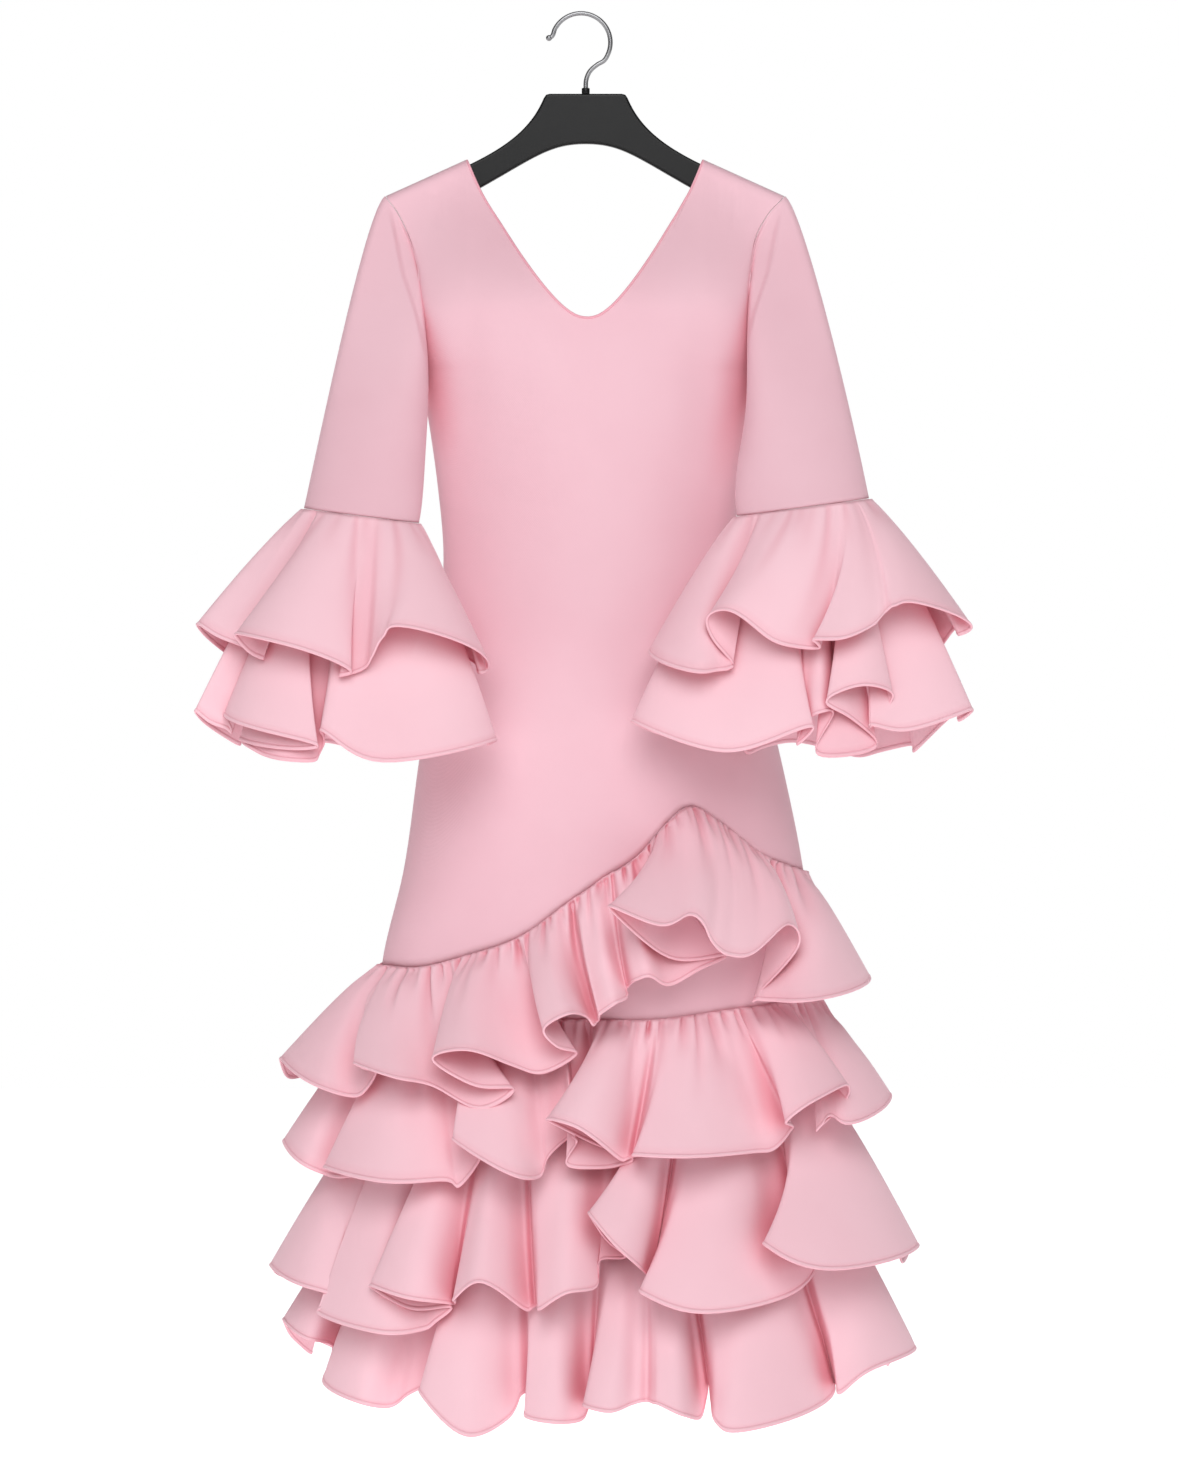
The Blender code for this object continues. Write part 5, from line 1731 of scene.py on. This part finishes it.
@dataclass
class Hook:
    """The wire hook with its ball tip, and the collar that it stands in.

    collar is the collar's turned outline, as radius and drop.
    """

    wire: float = 2.3
    ball: float = 3.1
    middle: Knot = Knot(-4.0, 24.5)
    half_width: float = 29.4
    half_height: float = 29.2
    start: float = 152.0
    end: float = -38.0
    tip: tuple[Knot, ...] = knots((-36.0, 20.0), (-33.4, 18.6))
    neck: tuple[Knot, ...] = knots((12.5, 46.5), (4.4, 54.0), (1.2, 62.0), (0.7, 71.0))
    sides: int = 24
    bend_points: int = 15
    step: float = 1.0
    ball_rows: int = 13
    ball_sides: int = 20
    pole: float = 0.02
    collar_sides: int = 32
    sharp_angle: float = 40.0
    collar: tuple[tuple[float, float], ...] = (
        (0.4, 70.0),
        (3.3, 70.0),
        (3.8, 70.3),
        (4.0, 70.9),
        (4.0, 75.3),
        (3.8, 75.7),
        (0.4, 75.7),
    )

    def route(self) -> Array:
        """Draw the middle line of the wire, from its tip to its foot.

        Returns:
            Points in metres, about a millimetre apart.
        """
        turn = np.radians(np.linspace(self.start, self.end, self.bend_points))
        x = self.middle.x + self.half_width * np.cos(turn)
        drop = self.middle.drop - self.half_height * np.sin(turn)
        x = np.concatenate(([knot.x for knot in self.tip], x, [knot.x for knot in self.neck]))
        drop = np.concatenate(([knot.drop for knot in self.tip], drop, [knot.drop for knot in self.neck]))
        run = np.concatenate(((0.0,), np.cumsum(np.hypot(np.diff(x), np.diff(drop)))))
        along = np.arange(0.0, run[-1], self.step)
        return place(curve(run, x)(along), 0.0, curve(run, drop)(along))

    def build(self, steel: bpy.types.Material, plastic: bpy.types.Material) -> None:
        """Build the hook and its collar.

        Args:
            steel: The wire's material.
            plastic: The collar's material.
        """
        turn = np.arange(self.sides) * FULL_TURN / self.sides
        rounds = self.wire * MM * np.stack((np.cos(turn), np.sin(turn)), -1)
        route = self.route()
        points, faces = sweep(route, rounds, False)
        tip_points, tip_faces = self.ball_tip(route[0], len(points))
        points = np.concatenate((points, tip_points))
        add_piece("hook_wire", "hook", Slot.STEEL, points, np.concatenate((faces, tip_faces)), steel)
        self.build_collar(plastic)

    def ball_tip(self, centre: Array, offset: int) -> tuple[Array, Array]:
        """Make the ball at the wire's tip.

        Args:
            centre: Its middle.
            offset: The number of points that come before it.

        Returns:
            Its points and quads.
        """
        rise = np.linspace(self.pole, HALF_TURN - self.pole, self.ball_rows)[:, None]
        turn = np.arange(self.ball_sides) * FULL_TURN / self.ball_sides
        across = np.broadcast_to(np.cos(rise), (self.ball_rows, self.ball_sides))
        ball = np.stack((np.sin(rise) * np.cos(turn), np.sin(rise) * np.sin(turn), across), -1)
        points = centre + self.ball * MM * ball.reshape(-1, 3)
        return points, grid_faces(self.ball_rows, self.ball_sides, True) + offset

    def build_collar(self, plastic: bpy.types.Material) -> None:
        """Build the small turned collar.

        Args:
            plastic: Its material.
        """
        profile = np.array(self.collar)
        radius, level = profile[:, :1], profile[:, 1:]
        turn = np.arange(self.collar_sides) * FULL_TURN / self.collar_sides
        points = place(self.neck[-1].x + radius * np.cos(turn), 0.0, level)
        points[..., 1] = radius * np.sin(turn) * MM
        points = points.reshape(-1, 3)
        faces = grid_faces(len(profile), self.collar_sides, True)
        add_piece("collar", "hook_collar", Slot.PLASTIC, points, faces, plastic, self.sharp_angle)


# --- Studio -----------------------------------------------------------------------------
@dataclass
class Studio:
    """The pale floor, the soft lights and the camera."""

    floor_z: float = -1.62
    half: float = 9.0
    floor_colour: Colour = (0.93, 0.93, 0.93, 1.0)
    floor_glow: float = 0.75
    white: Colour = (1.0, 1.0, 1.0, 1.0)
    air_light: float = 0.2

    def build(self) -> None:
        """Build the floor, the lights and the camera."""
        self.build_floor()
        self.build_world()
        self.add_light("key", (0.1, -3.2, 1.2), 2.0, 25.0)
        self.add_light("fill", (2.0, -4.4, 0.2), 3.0, 2.0)
        self.add_light("rim", (0.0, 2.6, 1.4), 2.0, 24.0)
        self.add_sun("overhead", (-0.04, -1.0, 0.62), 1.24, 46.0)
        self.build_camera()
        bpy.context.scene.view_settings.view_transform = "Standard"

    def build_floor(self) -> None:
        """Build the plain floor that the light falls on."""
        mesh = bpy.data.meshes.new("floor")
        signs = ((-1, -1), (1, -1), (1, 1), (-1, 1))
        corners = [(x * self.half, y * self.half, self.floor_z) for x, y in signs]
        mesh.from_pydata(corners, [], [(0, 1, 2, 3)])
        nodes = NodeBuilder("floor_paint")
        nodes.set(nodes.shader, Base_Color=self.floor_colour, Roughness=0.9)
        nodes.set(nodes.shader, Emission_Color=self.white, Emission_Strength=self.floor_glow)
        mesh.materials.append(nodes.material)
        floor = bpy.data.objects.new("floor", mesh)
        bpy.context.scene.collection.objects.link(floor)

    def build_world(self) -> None:
        """Build the white surroundings."""
        world = bpy.data.worlds.new("studio")
        world.use_nodes = True
        tree = world.node_tree
        lit = tree.nodes["Background"]
        seen = tree.nodes.new("ShaderNodeBackground")
        for background, strength in ((lit, self.air_light), (seen, 1.0)):
            background.inputs["Color"].default_value = self.white
            background.inputs["Strength"].default_value = strength
        path = tree.nodes.new("ShaderNodeLightPath")
        choose = tree.nodes.new("ShaderNodeMixShader")
        tree.links.new(path.outputs["Is Camera Ray"], choose.inputs["Fac"])
        tree.links.new(lit.outputs["Background"], choose.inputs[1])
        tree.links.new(seen.outputs["Background"], choose.inputs[2])
        tree.links.new(choose.outputs["Shader"], tree.nodes["World Output"].inputs["Surface"])
        bpy.context.scene.world = world

    def add_light(self, name: str, spot: Spot, size: float, power: float) -> None:
        """Add a soft square light that faces the dress.

        Args:
            name: The light's name.
            spot: Its place, in metres.
            size: Its side, in metres.
            power: Its power, in watts.
        """
        light = bpy.data.lights.new(name, "AREA")
        light.size = size
        light.energy = power
        lamp = bpy.data.objects.new(name, light)
        lamp.location = spot
        aim = Vector((VIEW_X, 0.0, VIEW_Z)) - lamp.location
        lamp.rotation_euler = aim.to_track_quat("-Z", "Y").to_euler()
        bpy.context.scene.collection.objects.link(lamp)

    def add_sun(self, name: str, spot: Spot, strength: float, spread: float) -> None:
        """Add a broad even light from far away.

        Args:
            name: The light's name.
            spot: The direction that it comes from.
            strength: Its strength, in watts for each square metre.
            spread: How wide it looks, in degrees.
        """
        light = bpy.data.lights.new(name, "SUN")
        light.energy = strength
        light.angle = math.radians(spread)
        lamp = bpy.data.objects.new(name, light)
        lamp.rotation_euler = (-Vector(spot)).to_track_quat("-Z", "Y").to_euler()
        bpy.context.scene.collection.objects.link(lamp)

    def build_camera(self) -> None:
        """Build the level camera in front of the dress."""
        lens = bpy.data.cameras.new("camera")
        lens.sensor_width = SENSOR
        lens.lens = SENSOR * VIEW_DISTANCE / VIEW_HEIGHT
        camera = bpy.data.objects.new("camera", lens)
        camera.location = (VIEW_X, -VIEW_DISTANCE, VIEW_Z)
        camera.rotation_euler = (QUARTER_TURN, 0.0, 0.0)
        bpy.context.scene.collection.objects.link(camera)
        bpy.context.scene.camera = camera


def build_skirt(trunk: Trunk, seams: list[TrunkSeam], finishes: Finishes) -> None:
    """Build the underskirt and its four flounces.

    Args:
        trunk: The body's form.
        seams: The four seams, from the top.
        finishes: The materials.
    """
    Underskirt(trunk, seams[0], seams[-1]).build(finishes.crepe)
    for number, (seam, pattern) in enumerate(zip(seams, TIERS), 1):
        Flounce(f"flounce_{number}", trunk, seam, pattern).build(finishes.frill)


def main() -> None:
    """Build the dress, its hanger and the studio in order."""
    logging.basicConfig(level=logging.INFO, format="%(name)s: %(message)s")
    Studio().build()
    finishes = Finishes()
    trunk = Trunk()
    seams = [TrunkSeam(trunk, line) for line in SEAMS]
    bodice = Bodice(trunk, seams[0])
    bodice.build(finishes.crepe, finishes.edging)
    build_skirt(trunk, seams, finishes)
    right = Sleeve(Side.RIGHT, CUFF_RIGHT, bodice, lap=(-0.31, -0.12, -0.04))
    for sleeve in (right, Sleeve(Side.LEFT, CUFF_LEFT, bodice)):
        sleeve.build(finishes.crepe, finishes.frill)
    Hanger().build(finishes.plastic)
    Hook().build(finishes.steel, finishes.plastic)


if __name__ == "__main__":
    main()
